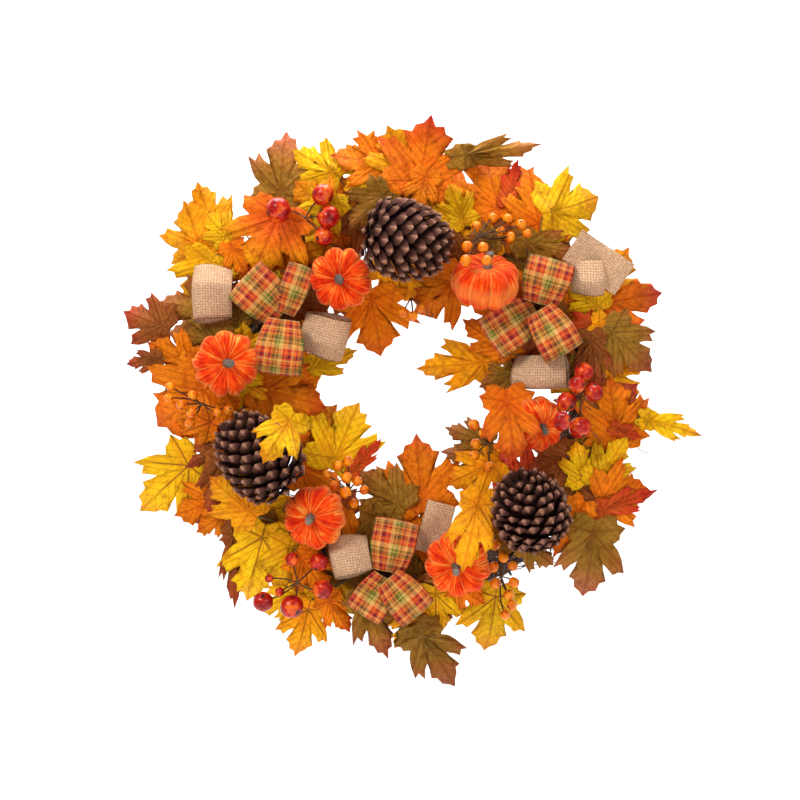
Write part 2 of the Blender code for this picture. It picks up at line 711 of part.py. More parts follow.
def pine_cone(index, x, z, radius, half_length, axis, rest, parent):
    """A pine cone as an egg with stepped rings where its rows of scales are."""
    lean = Vector(axis).normalized()
    depth = CONE_FULLNESS * math.hypot(half_length * lean.y, radius * math.hypot(lean.x, lean.z))
    place = Matrix.Translation((x, rest - depth, z)) @ turn_to(axis)
    rings = 11

    def form(polar, _turn):
        row = round(polar / math.pi * rings)
        step = 1 + CONE_STEP * (1 if row % 2 else -1) * (0 < row < rings)
        full = math.sin(polar) ** 0.75 * (1 - 0.14 * math.cos(polar))
        return radius * min(1.0, full * step), half_length * math.cos(polar)

    body = turned(14, rings, form, place)
    add_piece(f"pine_cone_{index + 1}", body, "cone", parent, smooth=False)


def berry_pick(name, fork, berries, shape, finish, rest, parent):
    """Berries on straight wires that leave one fork."""
    around, rings = shape
    start = Vector((fork[0], rest - fork[2], fork[1]))
    pieces = [ball(start, FORK_RADIUS, 6, 4)]
    for x, z, radius, forward in berries:
        centre = Vector((x, rest - max(forward, radius + 1.5), z))
        pieces.append(ball(centre, radius, around, rings))
        pieces.append(rod(start, centre, PICK_WIRE, 3))
    add_piece(name, united(pieces), finish, parent, smooth=True)


def dress(parent):
    """Everything that lies on the vine ring, from the back to the front."""
    layers = LayerMap()
    tail = strip_outline(*BACK_TAIL)
    add_piece("bow_2_burlap_tail", domed_plate(tail, layers.lay([tail]), LEAF_THICK), "burlap", parent)
    leaf_sprays(layers, parent)
    tail = strip_outline(*FRONT_TAIL)
    add_piece("bow_3_burlap_tail", domed_plate(tail, layers.lay([tail]), LEAF_THICK), "burlap", parent)
    for finish, loops in (("plaid", PLAID_LOOPS), ("burlap", BURLAP_LOOPS)):
        for name, loop in loops.items():
            radius = math.hypot(loop[3], loop[4]) / 2
            ribbon_loop(name, loop, finish, layers.rest(loop[0], loop[1], radius), parent)
    for index, (x, z) in enumerate(BOW_TIES):
        bow_tie(index, x, z, layers.rest(x, z, TIE_RADIUS), parent)
    for index, (x, z, radius, axis) in enumerate(PUMPKINS):
        pumpkin(index, x, z, radius, axis, layers.rest(x, z, radius), parent)
    for index, (x, z, radius, half_length, axis) in enumerate(CONES):
        rest = layers.rest(x, z, max(radius, half_length) + 5)
        pine_cone(index, x, z, radius, half_length, axis, rest, parent)
    for finish, picks, shape in (("orange_berry", YELLOW_PICKS, (6, 4)), ("red_berry", RED_PICKS, (8, 4))):
        for name, (fork, *rows) in picks.items():
            berries = [berry for row in rows for berry in row]
            spread = max(math.hypot(x - fork[0], z - fork[1]) + radius for x, z, radius, _ in berries)
            berry_pick(name, fork, berries, shape, finish, layers.rest(fork[0], fork[1], spread), parent)


def build():
    clear_scene()
    hanging_loop()
    pivot = bpy.data.objects.new("wreath_pivot", None)
    pivot.location = Vector((0, -PIVOT_DEPTH, -LOOP_RISE)) * MM
    bpy.context.scene.collection.objects.link(pivot)
    bpy.context.view_layer.update()
    frame_ring(pivot)
    for index in range(VINE_STRANDS):
        vine_strand(index, pivot)
    dress(pivot)


build()
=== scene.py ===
import json
import math
import random

import bmesh
import bpy
import numpy as np
from mathutils import Matrix, Vector


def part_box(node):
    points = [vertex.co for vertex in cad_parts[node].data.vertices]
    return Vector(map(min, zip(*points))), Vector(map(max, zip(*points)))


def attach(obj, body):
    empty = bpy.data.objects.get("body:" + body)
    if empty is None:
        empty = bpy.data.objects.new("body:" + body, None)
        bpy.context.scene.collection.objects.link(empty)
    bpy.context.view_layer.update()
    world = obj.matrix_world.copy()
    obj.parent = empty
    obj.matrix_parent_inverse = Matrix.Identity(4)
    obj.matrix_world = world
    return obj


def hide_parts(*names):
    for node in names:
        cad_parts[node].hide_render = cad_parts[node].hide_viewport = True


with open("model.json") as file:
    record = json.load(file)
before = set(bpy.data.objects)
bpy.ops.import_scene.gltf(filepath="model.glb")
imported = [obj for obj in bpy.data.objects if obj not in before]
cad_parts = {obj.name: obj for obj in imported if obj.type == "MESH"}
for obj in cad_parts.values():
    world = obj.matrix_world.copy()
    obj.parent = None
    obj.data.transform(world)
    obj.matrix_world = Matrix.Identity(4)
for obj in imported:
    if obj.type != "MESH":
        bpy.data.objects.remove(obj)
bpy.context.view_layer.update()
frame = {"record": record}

# Room, camera and light: a pale wall over a pale floor, lit by large soft lamps from the front, with the
# camera standing straight in front of the wreath. These are all in metres.
ROOM_WIDTH, FLOOR_Z, WALL_Y = 8, -1.4, 1.3
CAMERA_DISTANCE, VIEW_WIDTH, CREST_Y = 2.8, 0.84, -0.07
VIEW_X, VIEW_Z, AIM_Z = -0.0095, -0.2307, -0.23
# Each lamp's place, width, power and the depth that it is aimed at.
LAMPS = {
    "key_lamp": ((-1.5, -2.2, 1.5), 1.0, 60, 0),
    "fill_lamp": ((1.8, -2.4, 0.4), 1.5, 20, 0),
    "low_lamp": ((0.1, -2.2, -1.2), 1.4, 9, 0),
    "wall_lamp": ((0, 0.5, 1.9), 2.0, 110, WALL_Y),
}
WHITE, SKY_STRENGTH = (1, 1, 1, 1), 0.40


def as_mesh(shape, name):
    """The mesh of a finished bmesh."""
    made = bpy.data.meshes.new(name)
    shape.to_mesh(made)
    shape.free()
    return made


def set_out(name, held):
    """A new object in the scene that holds this mesh, camera, lamp or curve."""
    made = bpy.data.objects.new(name, held)
    bpy.context.scene.collection.objects.link(made)
    return made


wall_finish = bpy.data.materials.new("pale_wall")
wall_finish.use_nodes = True
wall_paint = wall_finish.node_tree.nodes["Principled BSDF"].inputs
wall_paint["Base Color"].default_value = (0.93, 0.93, 0.93, 1)
wall_paint["Roughness"].default_value = 0.9
for name, spot, tilt in (("floor", (0, 0, FLOOR_Z), 0), ("wall", (0, WALL_Y, 0), math.pi / 2)):
    slab = bmesh.new()
    stand = Matrix.Translation(spot) @ Matrix.Rotation(tilt, 4, "X")
    bmesh.ops.create_grid(slab, size=ROOM_WIDTH / 2, matrix=stand)
    panel = set_out(name, as_mesh(slab, name))
    panel.data.materials.append(wall_finish)

camera = set_out("camera", bpy.data.cameras.new("camera"))
camera.data.lens = camera.data.sensor_width * CAMERA_DISTANCE / VIEW_WIDTH
camera.location = (VIEW_X, CREST_Y - CAMERA_DISTANCE, VIEW_Z)
camera.rotation_euler = (math.pi / 2, 0, 0)
bpy.context.scene.camera = camera
for name, (spot, width, power, aim_y) in LAMPS.items():
    lamp = set_out(name, bpy.data.lights.new(name, "AREA"))
    lamp.data.size = width
    lamp.data.energy = power
    lamp.location = spot
    aim = Vector((0, aim_y, AIM_Z)) - lamp.location
    lamp.rotation_euler = aim.to_track_quat("-Z", "Y").to_euler()
world = bpy.data.worlds.new("room")
bpy.context.scene.world = world
world.use_nodes = True
sky = world.node_tree.nodes["Background"].inputs
sky["Color"].default_value = WHITE
sky["Strength"].default_value = SKY_STRENGTH
bpy.context.scene.view_settings.view_transform = "Standard"

# Clamp frame: a ring of dark painted steel wire, flat on the door, with six wires welded across it that
# are bent round the vines, and a short hinge tube on top.
# Sizes from here on are in millimetres from the ring's middle.
MM = 0.001
RING_MIDDLE = Vector((0, 0, -228.6))
RING_RADIUS, FRAME_WIRE, RING_STEPS = 190.0, 2.5, 144
PRONG_WIRE, PRONG_REACH, PRONG_ANGLES = 1.6, 27.0, (0, 60, 130, 180, 230, 300)
PRONG_START, PRONG_SWEEP, PRONG_STEPS = -28, 236, 36
VINE_MIDDLE_Y = -33.0
EYE_RISE, EYE_RADIUS, EYE_BORE, EYE_HALF, PIVOT_Y = 4.6, 2.9, 1.55, 5.0, -3.2


class Wire:
    """A shader socket that adds Math nodes when it is used in an expression."""

    def __init__(self, tree, socket):
        self.tree, self.socket = tree, socket

    def math(self, operation, *others, turned=False):
        values = (*others, self) if turned else (self, *others)
        node = self.tree.nodes.new("ShaderNodeMath")
        node.operation = operation
        for entry, value in zip(node.inputs, values):
            put(self.tree, entry, value)
        return Wire(self.tree, node.outputs[0])

    def __add__(self, other):
        return self.math("ADD", other)

    def __sub__(self, other):
        return self.math("SUBTRACT", other)

    def __rsub__(self, other):
        return self.math("SUBTRACT", other, turned=True)

    def __mul__(self, other):
        return self.math("MULTIPLY", other)

    def __truediv__(self, other):
        return self.math("DIVIDE", other)

    __radd__ = __add__
    __rmul__ = __mul__


def put(tree, entry, value):
    """Links a Wire to a socket, or sets the socket's value."""
    if isinstance(value, Wire):
        tree.links.new(value.socket, entry)
    elif hasattr(entry.default_value, "__len__") and len(entry.default_value) == 4 and len(value) == 3:
        entry.default_value = (*value, 1)
    else:
        entry.default_value = value


class Finish:
    """One material: node() adds any node, and surface() sets what the shader shows."""

    def __init__(self, name):
        self.material = bpy.data.materials.new(name)
        self.material.use_nodes = True
        self.tree = self.material.node_tree
        self.shader = self.tree.nodes["Principled BSDF"]

    def node(self, kind, output=0, stops=None, settings=(), **sockets):
        made = self.tree.nodes.new("ShaderNode" + kind)
        for name, value in dict(settings).items():
            setattr(made, name, value)
        if stops:
            ramp = made.color_ramp.elements
            while len(ramp) < len(stops):
                ramp.new(0.5)
            for stop, (place, colour) in zip(ramp, stops):
                stop.position = place
                stop.color = (*colour, 1) if hasattr(colour, "__len__") else (colour, colour, colour, 1)
        for name, value in sockets.items():
            entry = made.inputs[int(name[1:])] if name[1:].isdigit() else made.inputs[name]
            put(self.tree, entry, value)
        return Wire(self.tree, made.outputs[output])

    def place(self):
        return self.node("TexCoord", "Object")

    def noise(self, scale, where=None, detail=3.0, rough=0.55):
        return self.node(
            "TexNoise", "Fac", Vector=where or self.place(), Scale=scale, Detail=detail, Roughness=rough
        )

    def ramp(self, value, *stops):
        return self.node("ValToRGB", "Color", stops=stops, Fac=value)

    def mix(self, share, first, second, blend="MIX"):
        return self.node(
            "Mix", 2, settings={"data_type": "RGBA", "blend_type": blend}, _0=share, _6=first, _7=second
        )

    def bump(self, height, distance, strength=1.0):
        return self.node("Bump", Height=height, Distance=distance, Strength=strength)

    def surface(self, **values):
        for name, value in values.items():
            put(self.tree, self.shader.inputs[name.replace("_", " ")], value)
        return self.material


def add_piece(name, shape, finish, node, slot, body="wreath", smooth=True):
    """One finished piece, from a bmesh or a mesh in millimetres round the ring's middle."""
    mesh = as_mesh(shape, name) if isinstance(shape, bmesh.types.BMesh) else shape
    mesh.transform(Matrix.Scale(MM, 4) @ Matrix.Translation(RING_MIDDLE))
    mesh.materials.clear()
    mesh.materials.append(finish)
    if smooth:
        mesh.shade_smooth()
    piece = set_out(name, mesh)
    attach(piece, body)
    if node:
        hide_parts(node)
    return piece


def join(whole, part):
    """Adds a mesh to a bmesh, and lets the mesh go."""
    whole.from_mesh(part)
    bpy.data.meshes.remove(part)


painted = Finish("dark_painted_steel")
chipped = painted.ramp(painted.noise(420, detail=6), (0.60, 0), (0.68, 1))
painted_steel = painted.surface(
    Base_Color=painted.mix(chipped, (0.045, 0.045, 0.05), (0.16, 0.10, 0.07)),
    Roughness=0.38 + chipped * 0.3,
    Metallic=0.75,
    Normal=painted.bump(painted.noise(900), 0.0002, 0.5),
)


def wires(runs, sides=8):
    """A mesh of round wires: each run is (points, one radius for each point, closed), in millimetres."""
    curve = bpy.data.curves.new("wires", "CURVE")
    curve.dimensions = "3D"
    curve.bevel_depth = 1
    curve.bevel_resolution = sides // 2 - 2
    curve.use_fill_caps = True
    for points, radii, closed in runs:
        spline = curve.splines.new("POLY")
        spline.points.add(len(points) - 1)
        for spot, point, radius in zip(spline.points, points, radii):
            spot.co = (*point, 1)
            spot.radius = radius
        spline.use_cyclic_u = closed
    holder = set_out("wires", curve)
    bpy.context.view_layer.update()
    graph = bpy.context.evaluated_depsgraph_get()
    mesh = bpy.data.meshes.new_from_object(holder.evaluated_get(graph))
    bpy.data.objects.remove(holder)
    bpy.data.curves.remove(curve)
    return mesh


def prong(angle):
    """Points of one clamp wire, bent round the vine at this angle round the ring."""
    points = []
    for step in range(PRONG_STEPS + 1):
        turn = math.radians(PRONG_START + PRONG_SWEEP * step / PRONG_STEPS)
        out = RING_RADIUS + PRONG_REACH * math.cos(turn)
        depth = VINE_MIDDLE_Y + PRONG_REACH * math.sin(turn)
        points.append((out * math.cos(angle), depth, out * math.sin(angle)))
    return points


ring = [
    (RING_RADIUS * math.cos(turn), -FRAME_WIRE, RING_RADIUS * math.sin(turn))
    for turn in (math.tau * step / RING_STEPS for step in range(RING_STEPS))
]
runs = [(ring, [FRAME_WIRE] * len(ring), True)]
for angle in PRONG_ANGLES:
    bent = prong(math.radians(angle))
    runs.append((bent, [PRONG_WIRE] * len(bent), False))
clamp_shape = bmesh.new()
join(clamp_shape, wires(runs, 12))
eye = bmesh.new()
eye_place = Matrix.Translation((-EYE_HALF, PIVOT_Y, RING_RADIUS + EYE_RISE))
eye_place = eye_place @ Matrix.Rotation(math.pi / 2, 4, "Y")
for radius in (EYE_RADIUS, EYE_BORE):
    bmesh.ops.create_circle(eye, segments=32, radius=radius, matrix=eye_place)
bmesh.ops.bridge_loops(eye, edges=eye.edges[:])
tube = bmesh.ops.extrude_face_region(eye, geom=eye.faces[:])
moved = [item for item in tube["geom"] if isinstance(item, bmesh.types.BMVert)]
bmesh.ops.translate(eye, verts=moved, vec=(2 * EYE_HALF, 0, 0))
bmesh.ops.recalc_face_normals(eye, faces=eye.faces[:])
join(clamp_shape, as_mesh(eye, "eye"))
clamp = add_piece("clamp_frame_wires", clamp_shape, painted_steel, "clamp_frame", "steel")
clamp.data.set_sharp_from_angle(angle=math.radians(50))

# Hanging loop: a D of the same wire, its straight bar turning in the hinge tube and its round top going
# over the door hook.
LOOP_WIRE, LOOP_RISE, LOOP_HALF, LOOP_CORNER, LOOP_STEPS = 1.1, 35.1, 15.0, 1.5, 40
bar_z = RING_RADIUS + EYE_RISE
bar_end = LOOP_HALF - LOOP_CORNER
loop = [(x, PIVOT_Y, bar_z) for x in (-bar_end, 0, bar_end)]
for step in range(LOOP_STEPS + 1):
    turn = math.pi * (0.02 + 0.96 * step / LOOP_STEPS)
    loop.append((LOOP_HALF * math.cos(turn), PIVOT_Y, bar_z + LOOP_RISE * math.sin(turn)))
hanger = wires([(loop, [LOOP_WIRE] * len(loop), True)], 12)
add_piece("hanging_loop_wire", hanger, painted_steel, "hanging_loop", "steel", "loop")

# Vine ring: three thick strands of dark grapevine twisted round each other, each a bundle of stems with
# split bark, wound over with thin runners and bristling with cut twig ends.
random.seed(4)
VINE_STRANDS, VINE_TURNS, VINE_HELIX = 3, 4, 13.2
STEMS, STEM_TURNS, STEM_RADIUS, STEM_LAY, STEM_STEPS = 9, 9, 3.3, 6.6, 240
RUNNERS, RUNNER_REACH, RUNNER_WIRE, RUNNER_STEPS = 26, 24.2, 0.9, 90
TWIGS, TWIG_ROOT, TWIG_FRONT = 300, 18, -52
TWIG_TAPER = (0.9, 0.8, 0.7, 0.6, 0.5, 0.35)
# Loose tendrils: start x, z, heading in degrees, length and how tightly they coil.
TENDRILS = (
    (84, -28, 60, 42, 0.2), (118, -158, 300, 30, 1.0), (128, -160, 280, 36, -0.9),
    (142, -162, 310, 30, 1.1), (150, -158, 260, 34, 0.8), (236, -44, 300, 24, 0.2),
    (-140, -128, 230, 30, -0.7), (-246, 20, 200, 26, 0.5), (30, 222, 60, 24, -0.8),
    (-262, 26, 190, 20, 0.6), (20, 96, 250, 22, 0.9), (-150, -118, 250, 26, 0.9),
)
TENDRIL_Y, TENDRIL_STEPS = -50.0, 28

bark = Finish("grapevine_bark")
grain = bark.noise(160, detail=8, rough=0.7)
peeled = bark.ramp(grain, (0.52, 0), (0.70, 1))
weathered = bark.ramp(bark.noise(18), (0.35, (0.030, 0.019, 0.018)), (0.65, (0.085, 0.050, 0.038)))
vine_bark = bark.surface(
    Base_Color=bark.mix(peeled, weathered, (0.30, 0.20, 0.15)),
    Roughness=0.95 - grain * 0.3,
    Normal=bark.bump(bark.noise(520, detail=8), 0.0008, 0.8),
)


def ring_point(around, out, depth):
    """A point round the wreath: how far out from the vine's middle, and how far in front of it."""
    radius = RING_RADIUS + out
    return Vector((radius * math.cos(around), VINE_MIDDLE_Y + depth, radius * math.sin(around)))


for strand in range(VINE_STRANDS):
    runs = []
    for stem in range(STEMS):
        points, radii = [], []
        lay = STEM_LAY if stem else 0.0
        for step in range(STEM_STEPS):
            around = math.tau * step / STEM_STEPS
            twist = VINE_TURNS * around + math.tau * strand / VINE_STRANDS
            turn = STEM_TURNS * around + math.tau * stem / (STEMS - 1)
            wander = 0.5 * math.sin(7 * around + stem * 2.1)
            out = VINE_HELIX * math.cos(twist) + (lay + wander) * math.cos(turn)
            depth = VINE_HELIX * math.sin(twist) + (lay + wander) * math.sin(turn)
            points.append(ring_point(around, out, depth))
            knots = 0.5 * math.sin(23 * around + stem) + 0.25 * math.sin(61 * around)
            radii.append(STEM_RADIUS + knots)
        runs.append((points, radii, True))
    node = f"vine_strand_{strand + 1}"
    add_piece(f"vine_bundle_{strand + 1}", wires(runs, 8), vine_bark, node, "vine")

runs = []
for runner in range(RUNNERS):
    start, sweep = random.uniform(0, math.tau), random.uniform(1.2, 3.4)
    turns, phase = random.uniform(2.2, 5.0), random.uniform(0, math.tau)
    points, radii = [], []
    for step in range(RUNNER_STEPS):
        share = step / (RUNNER_STEPS - 1)
        around = start + sweep * share
        turn = phase + math.tau * turns * share
        reach = RUNNER_REACH + 1.2 * math.sin(9 * around + runner)
        points.append(ring_point(around, reach * math.cos(turn), reach * math.sin(turn)))
        radii.append(RUNNER_WIRE * (1 - 0.6 * share))
    runs.append((points, radii, False))
for _ in range(TWIGS):
    around, turn = random.uniform(0, math.tau), random.uniform(math.pi * 0.98, math.tau * 1.02)
    length, sweep, hook = random.uniform(9, 22), random.uniform(-0.22, 0.22), random.uniform(-0.6, 0.6)
    points = []
    for step in range(len(TWIG_TAPER)):
        share = step / (len(TWIG_TAPER) - 1)
        reach = TWIG_ROOT + length * share
        out = reach * math.cos(turn + hook * share * share)
        depth = reach * math.sin(turn + hook * share * share)
        points.append(ring_point(around + sweep * share, out, max(depth, TWIG_FRONT)))
    runs.append((points, TWIG_TAPER, False))
for x, z, heading, length, coil in TENDRILS:
    points, radii = [], []
    for step in range(TENDRIL_STEPS):
        share = step / (TENDRIL_STEPS - 1)
        turn = math.radians(heading) + coil * share * share * 6
        x += length / TENDRIL_STEPS * math.cos(turn)
        z += length / TENDRIL_STEPS * math.sin(turn)
        points.append((x, TENDRIL_Y - 4 * math.sin(share * 5), z))
        radii.append(0.75 - 0.4 * share)
    runs.append((points, radii, False))
add_piece("vine_runners", wires(runs, 4), vine_bark, None, "vine")

# Leaf sprays: die-cut polyester leaves, heat pressed into veined maple shapes and dyed from a yellow,
# orange or olive body to darker tips, each welded to a plastic stalk that leaves its spray's short post.
SECTORS, CREST_OUTER, CREST_INNER = 12, 206.0, 170.0
OUTER_SLOPE, INNER_SLOPE = 0.28, 0.24
DOME_FRONT, LEAF_PITCH = -60.0, 1.15
SPRAYS, SPRAY_RADIUS = 12, 188.0
FULLER_LENGTH, FULLER_BREADTH = 1.06, 1.10
FILLERS, FILLER_ROOT = 60, 196
FILLER_DYES = ("orange", "amber", "olive", "olive", "brown", "orange", "yellow")
# No filler ends this near the deep gap at the lower right.
CLEARING_X, CLEARING_Z, CLEARING_RADIUS = 135, -185, 45
CELL, HALF_GRID = 2.0, 330.0
LEAF_CLOTH, DRAPE_GAP = 0.35, 0.9
STALK_TAPER, POST_TAPER, POST_DEPTHS = (1.1, 1.0, 0.9, 0.8, 0.7, 0.3), (1.6, 1.9, 1.2), (22, 8, -4)

# Base x, z and tip x, z from the ring's middle, breadth as a share of length, and dye.
LEAVES = (
    (-137, 203, -132, 280, 0.78, "olive"),
    (-72, 232, -120, 262, 0.85, "yellow"),
    (-25, 238, -67, 212, 0.90, "yellow"),
    (-18, 245, -80, 256, 0.80, "orange"),
    (2, 232, -22, 286, 1.10, "amber"),
    (8, 215, 24, 293, 1.05, "scarlet"),
    (20, 240, 6, 193, 0.70, "orange"),
    (-20, 218, -62, 180, 0.90, "olive"),
    (-80, 187, -118, 228, 0.90, "amber"),
    (-80, 215, -108, 165, 0.80, "yellow"),
    (-218, 150, -236, 206, 1.15, "amber"),
    (-188, 166, -215, 194, 0.90, "yellow"),
    (-205, 152, -231, 100, 1.10, "yellow"),
    (-190, 165, -172, 130, 0.80, "orange"),
    (-190, 88, -264, 101, 0.75, "olive"),
    (-252, 72, -302, 92, 0.90, "brown"),
    (-190, 58, -252, 68, 0.80, "olive"),
    (-222, 28, -272, 58, 0.85, "orange"),
    (-262, 42, -298, 36, 0.60, "brown"),
    (-42, 116, -30, 50, 1.10, "orange"),
    (-112, 28, -57, 50, 0.50, "yellow"),
    (-165, 12, -90, -8, 0.80, "orange"),
    (-125, 22, -112, -45, 0.80, "orange"),
    (-118, -2, -178, -22, 0.70, "amber"),
    (-118, -15, -147, -64, 0.75, "yellow"),
    (-205, 14, -266, -28, 1.25, "orange"),
    (-200, -30, -248, -5, 0.80, "orange"),
    (-222, -62, -284, -117, 0.80, "yellow"),
    (-192, -50, -234, -72, 0.50, "brown"),
    (-195, -105, -246, -124, 0.95, "orange"),
    (-188, -118, -223, -141, 0.70, "orange"),
    (-195, -55, -210, -120, 0.50, "brown"),
    (-158, -124, -204, -83, 0.80, "amber"),
    (-184, -130, -184, -218, 0.30, "brown"),
    (-150, -132, -171, -213, 0.75, "yellow"),
    (-122, -145, -138, -205, 0.80, "yellow"),
    (-110, -205, -161, -223, 0.60, "yellow"),
    (-118, -208, -72, -208, 0.50, "yellow"),
    (-103, -212, -118, -270, 0.75, "amber"),
    (-88, -205, -63, -244, 0.70, "orange"),
    (-50, -200, -23, -268, 0.62, "olive"),
    (-118, -160, -86, -204, 0.80, "orange"),
    (-82, -76, -55, -8, 0.95, "yellow"),
    (-62, -80, -30, -44, 0.36, "russet"),
    (15, -122, 8, -42, 0.90, "orange"),
    (-3, -118, -50, -78, 0.85, "olive"),
    (-38, -112, -45, -178, 0.40, "olive"),
    (28, -198, 28, -246, 1.10, "yellow"),
    (10, -222, -14, -262, 0.70, "amber"),
    (5, -238, 48, -303, 0.66, "olive"),
    (93, -198, 84, -266, 0.90, "yellow"),
    (45, -192, 78, -216, 0.80, "orange"),
    (76, -97, 54, -176, 0.50, "amber"),
    (96, -65, 42, -91, 0.75, "amber"),
    (92, -64, 38, -57, 0.55, "olive"),
    (88, -48, 40, -33, 0.60, "olive"),
    (220, -50, 211, 19, 0.95, "orange"),
    (212, -30, 244, -42, 0.48, "russet"),
    (243, -20, 309, -38, 0.35, "yellow"),
    (185, -92, 176, -47, 0.85, "yellow"),
    (196, -92, 228, -43, 0.75, "yellow"),
    (196, -106, 250, -96, 1.10, "orange"),
    (194, -122, 260, -98, 0.34, "russet"),
    (186, -108, 149, -166, 0.50, "orange"),
    (196, -128, 187, -209, 0.75, "olive"),
    (118, -150, 151, -176, 0.80, "olive"),
    (58, 128, 8, 92, 1.0, "orange"),
    (93, 38, 12, 32, 0.56, "amber"),
    (108, 46, 58, 82, 0.60, "orange"),
    (114, 25, 76, 13, 0.80, "olive"),
    (97, 188, 82, 258, 1.10, "orange"),
    (44, 252, 137, 268, 0.30, "olive"),
    (102, 202, 115, 250, 0.45, "russet"),
    (138, 172, 128, 238, 0.85, "orange"),
    (140, 192, 202, 212, 1.05, "yellow"),
    (112, 166, 179, 150, 0.50, "olive"),
    (198, 103, 232, 157, 0.95, "amber"),
    (186, 92, 262, 114, 0.75, "scarlet"),
    (205, 92, 167, 121, 0.80, "yellow"),
    (198, 80, 165, 72, 0.80, "russet"),
    (192, 78, 236, 64, 0.70, "amber"),
    (205, 76, 255, 30, 0.80, "olive"),
    (190, 70, 196, 12, 0.60, "brown"),
    (60, 180, 42, 224, 0.70, "yellow"),
    (97, 165, 62, 171, 0.80, "olive"),
    (-132, 202, -162, 134, 1.10, "flame"),
    (101, 10, 108, -66, 0.70, "scarlet"),
)
# Leaves tucked into the gaps between the fruit, behind all the others.
TUCKED = (
    (-122, -72, -72, -98, 0.90, "orange"), (-92, -150, -56, -98, 0.80, "brown"),
    (-66, -196, -52, -134, 0.85, "olive"), (8, -165, 34, -106, 0.90, "orange"),
    (136, -98, 90, -62, 0.90, "russet"), (176, -58, 128, -80, 0.80, "brown"),
    (-142, 108, -86, 86, 0.90, "brown"), (172, 92, 100, 88, 0.85, "orange"),
    (160, 58, 104, 44, 0.85, "brown"), (90, 168, 34, 138, 0.80, "amber"),
    (150, 96, 62, 104, 0.80, "orange"), (-60, -170, -28, -112, 0.90, "orange"),
    (-140, 40, -96, 70, 0.90, "orange"), (-112, -60, -78, -12, 0.90, "amber"),
    (150, 30, 112, 70, 0.90, "brown"), (160, -130, 196, -160, 0.80, "orange"),
    (-196, -84, -150, -112, 0.80, "brown"), (-60, 196, -20, 150, 0.80, "brown"),
    (-95, 142, -52, 88, 1.00, "brown"), (-28, 158, 22, 104, 0.90, "amber"),
    (152, 42, 108, 96, 1.00, "orange"), (168, 78, 110, 60, 1.00, "brown"),
    (60, 168, 30, 108, 0.90, "brown"), (-186, 186, -236, 168, 1.00, "yellow"),
    (-206, -12, -262, 4, 0.90, "amber"), (118, 190, 132, 242, 0.90, "amber"),
    (-60, 240, -6, 262, 0.90, "orange"), (-200, 160, -224, 226, 0.70, "amber"),
)

# Leaves that stand forward over a pumpkin or a cone: by the tip's x and z, how far.
LIFTED = {(54, -176): 76, (-147, -64): 103, (-204, -83): 48, (-90, -8): 16, (42, -91): 6, (108, -66): 66}

# Each dye is the body, the edge and the tip colour.
DYES = {
    "yellow": ((0.84, 0.42, 0.004), (0.92, 0.54, 0.006), (0.80, 0.27, 0.005)),
    "amber": ((0.84, 0.27, 0.003), (0.88, 0.40, 0.005), (0.74, 0.14, 0.006)),
    "orange": ((0.77, 0.150, 0.002), (0.82, 0.24, 0.003), (0.60, 0.040, 0.005)),
    "scarlet": ((0.80, 0.14, 0.003), (0.80, 0.20, 0.004), (0.56, 0.012, 0.010)),
    "flame": ((0.66, 0.06, 0.006), (0.84, 0.22, 0.004), (0.92, 0.42, 0.005)),
    "russet": ((0.50, 0.085, 0.008), (0.60, 0.06, 0.010), (0.50, 0.010, 0.012)),
    "olive": ((0.265, 0.135, 0.012), (0.34, 0.15, 0.016), (0.40, 0.075, 0.045)),
    "brown": ((0.25, 0.075, 0.012), (0.33, 0.09, 0.016), (0.40, 0.035, 0.02)),
}
PRINTED_VEINS = ((-284, -117), (-171, -213), (28, -246), (84, -266), (-118, -270), (-248, -5))
# Right half of a maple leaf from stalk to tip: across as a share of breadth, along as a share of length.
HALF_MAPLE = (
    (0.03, 0.00), (0.17, -0.07), (0.31, -0.06), (0.34, 0.03), (0.48, 0.07), (0.41, 0.16), (0.41, 0.22),
    (0.32, 0.28), (0.41, 0.36), (0.47, 0.46), (0.54, 0.64), (0.43, 0.60), (0.37, 0.68), (0.29, 0.60),
    (0.20, 0.55), (0.22, 0.64), (0.28, 0.75), (0.19, 0.78), (0.16, 0.87), (0.07, 0.90),
)
VEIN_HUB = 0.16
# How far each ring of corners is drawn in towards the hub from the one outside it.
HUB_RINGS = (0.80, 0.72, 0.60, 0.42)
UPPER_RIB, LOWER_RIB = 0.80, 1.78

dyed = Finish("dyed_leaf_cloth")
tint = dyed.node("VertexColor", "Color", settings={"layer_name": "dye"})
printed = dyed.node("VertexColor", "Alpha", settings={"layer_name": "dye"})
across_along = dyed.node("UVMap", settings={"uv_map": "leaf"})
across = dyed.node("SeparateXYZ", "X", Vector=across_along)
along = dyed.node("SeparateXYZ", "Y", Vector=across_along) - VEIN_HUB
side = across.math("ABSOLUTE")
span = (side * side + along * along).math("SQRT")
bearing = side.math("ARCTAN2", along)
upper_rib = (bearing - UPPER_RIB).math("SINE").math("ABSOLUTE") * span
lower_rib = (bearing - LOWER_RIB).math("SINE").math("ABSOLUTE") * span
ribs = side.math("MINIMUM", upper_rib).math("MINIMUM", lower_rib)
branches = ((along - side * 0.9) * 9.0).math("PINGPONG", 0.5) / 9.0
veins = ribs.math("MINIMUM", branches * 1.6 + 0.010)
vein_mask = dyed.ramp(veins, (0.006, 1.0), (0.022, 0.0))
mottle = dyed.noise(95, detail=5, rough=0.65)
patches = dyed.noise(34, detail=2)
weave_x = dyed.noise(2600, detail=1)
crumple = dyed.noise(150, detail=4, rough=0.6)
fan = dyed.node("CombineXYZ", X=bearing * 3.2, Y=span * 0.9, Z=across * 2.0)
rays = dyed.noise(7, fan, detail=5, rough=0.65)
shade = dyed.ramp(mottle, (0.30, (0.62, 0.50, 0.40)), (0.50, (1, 1, 1)), (0.72, (1.0, 1.0, 0.92)))
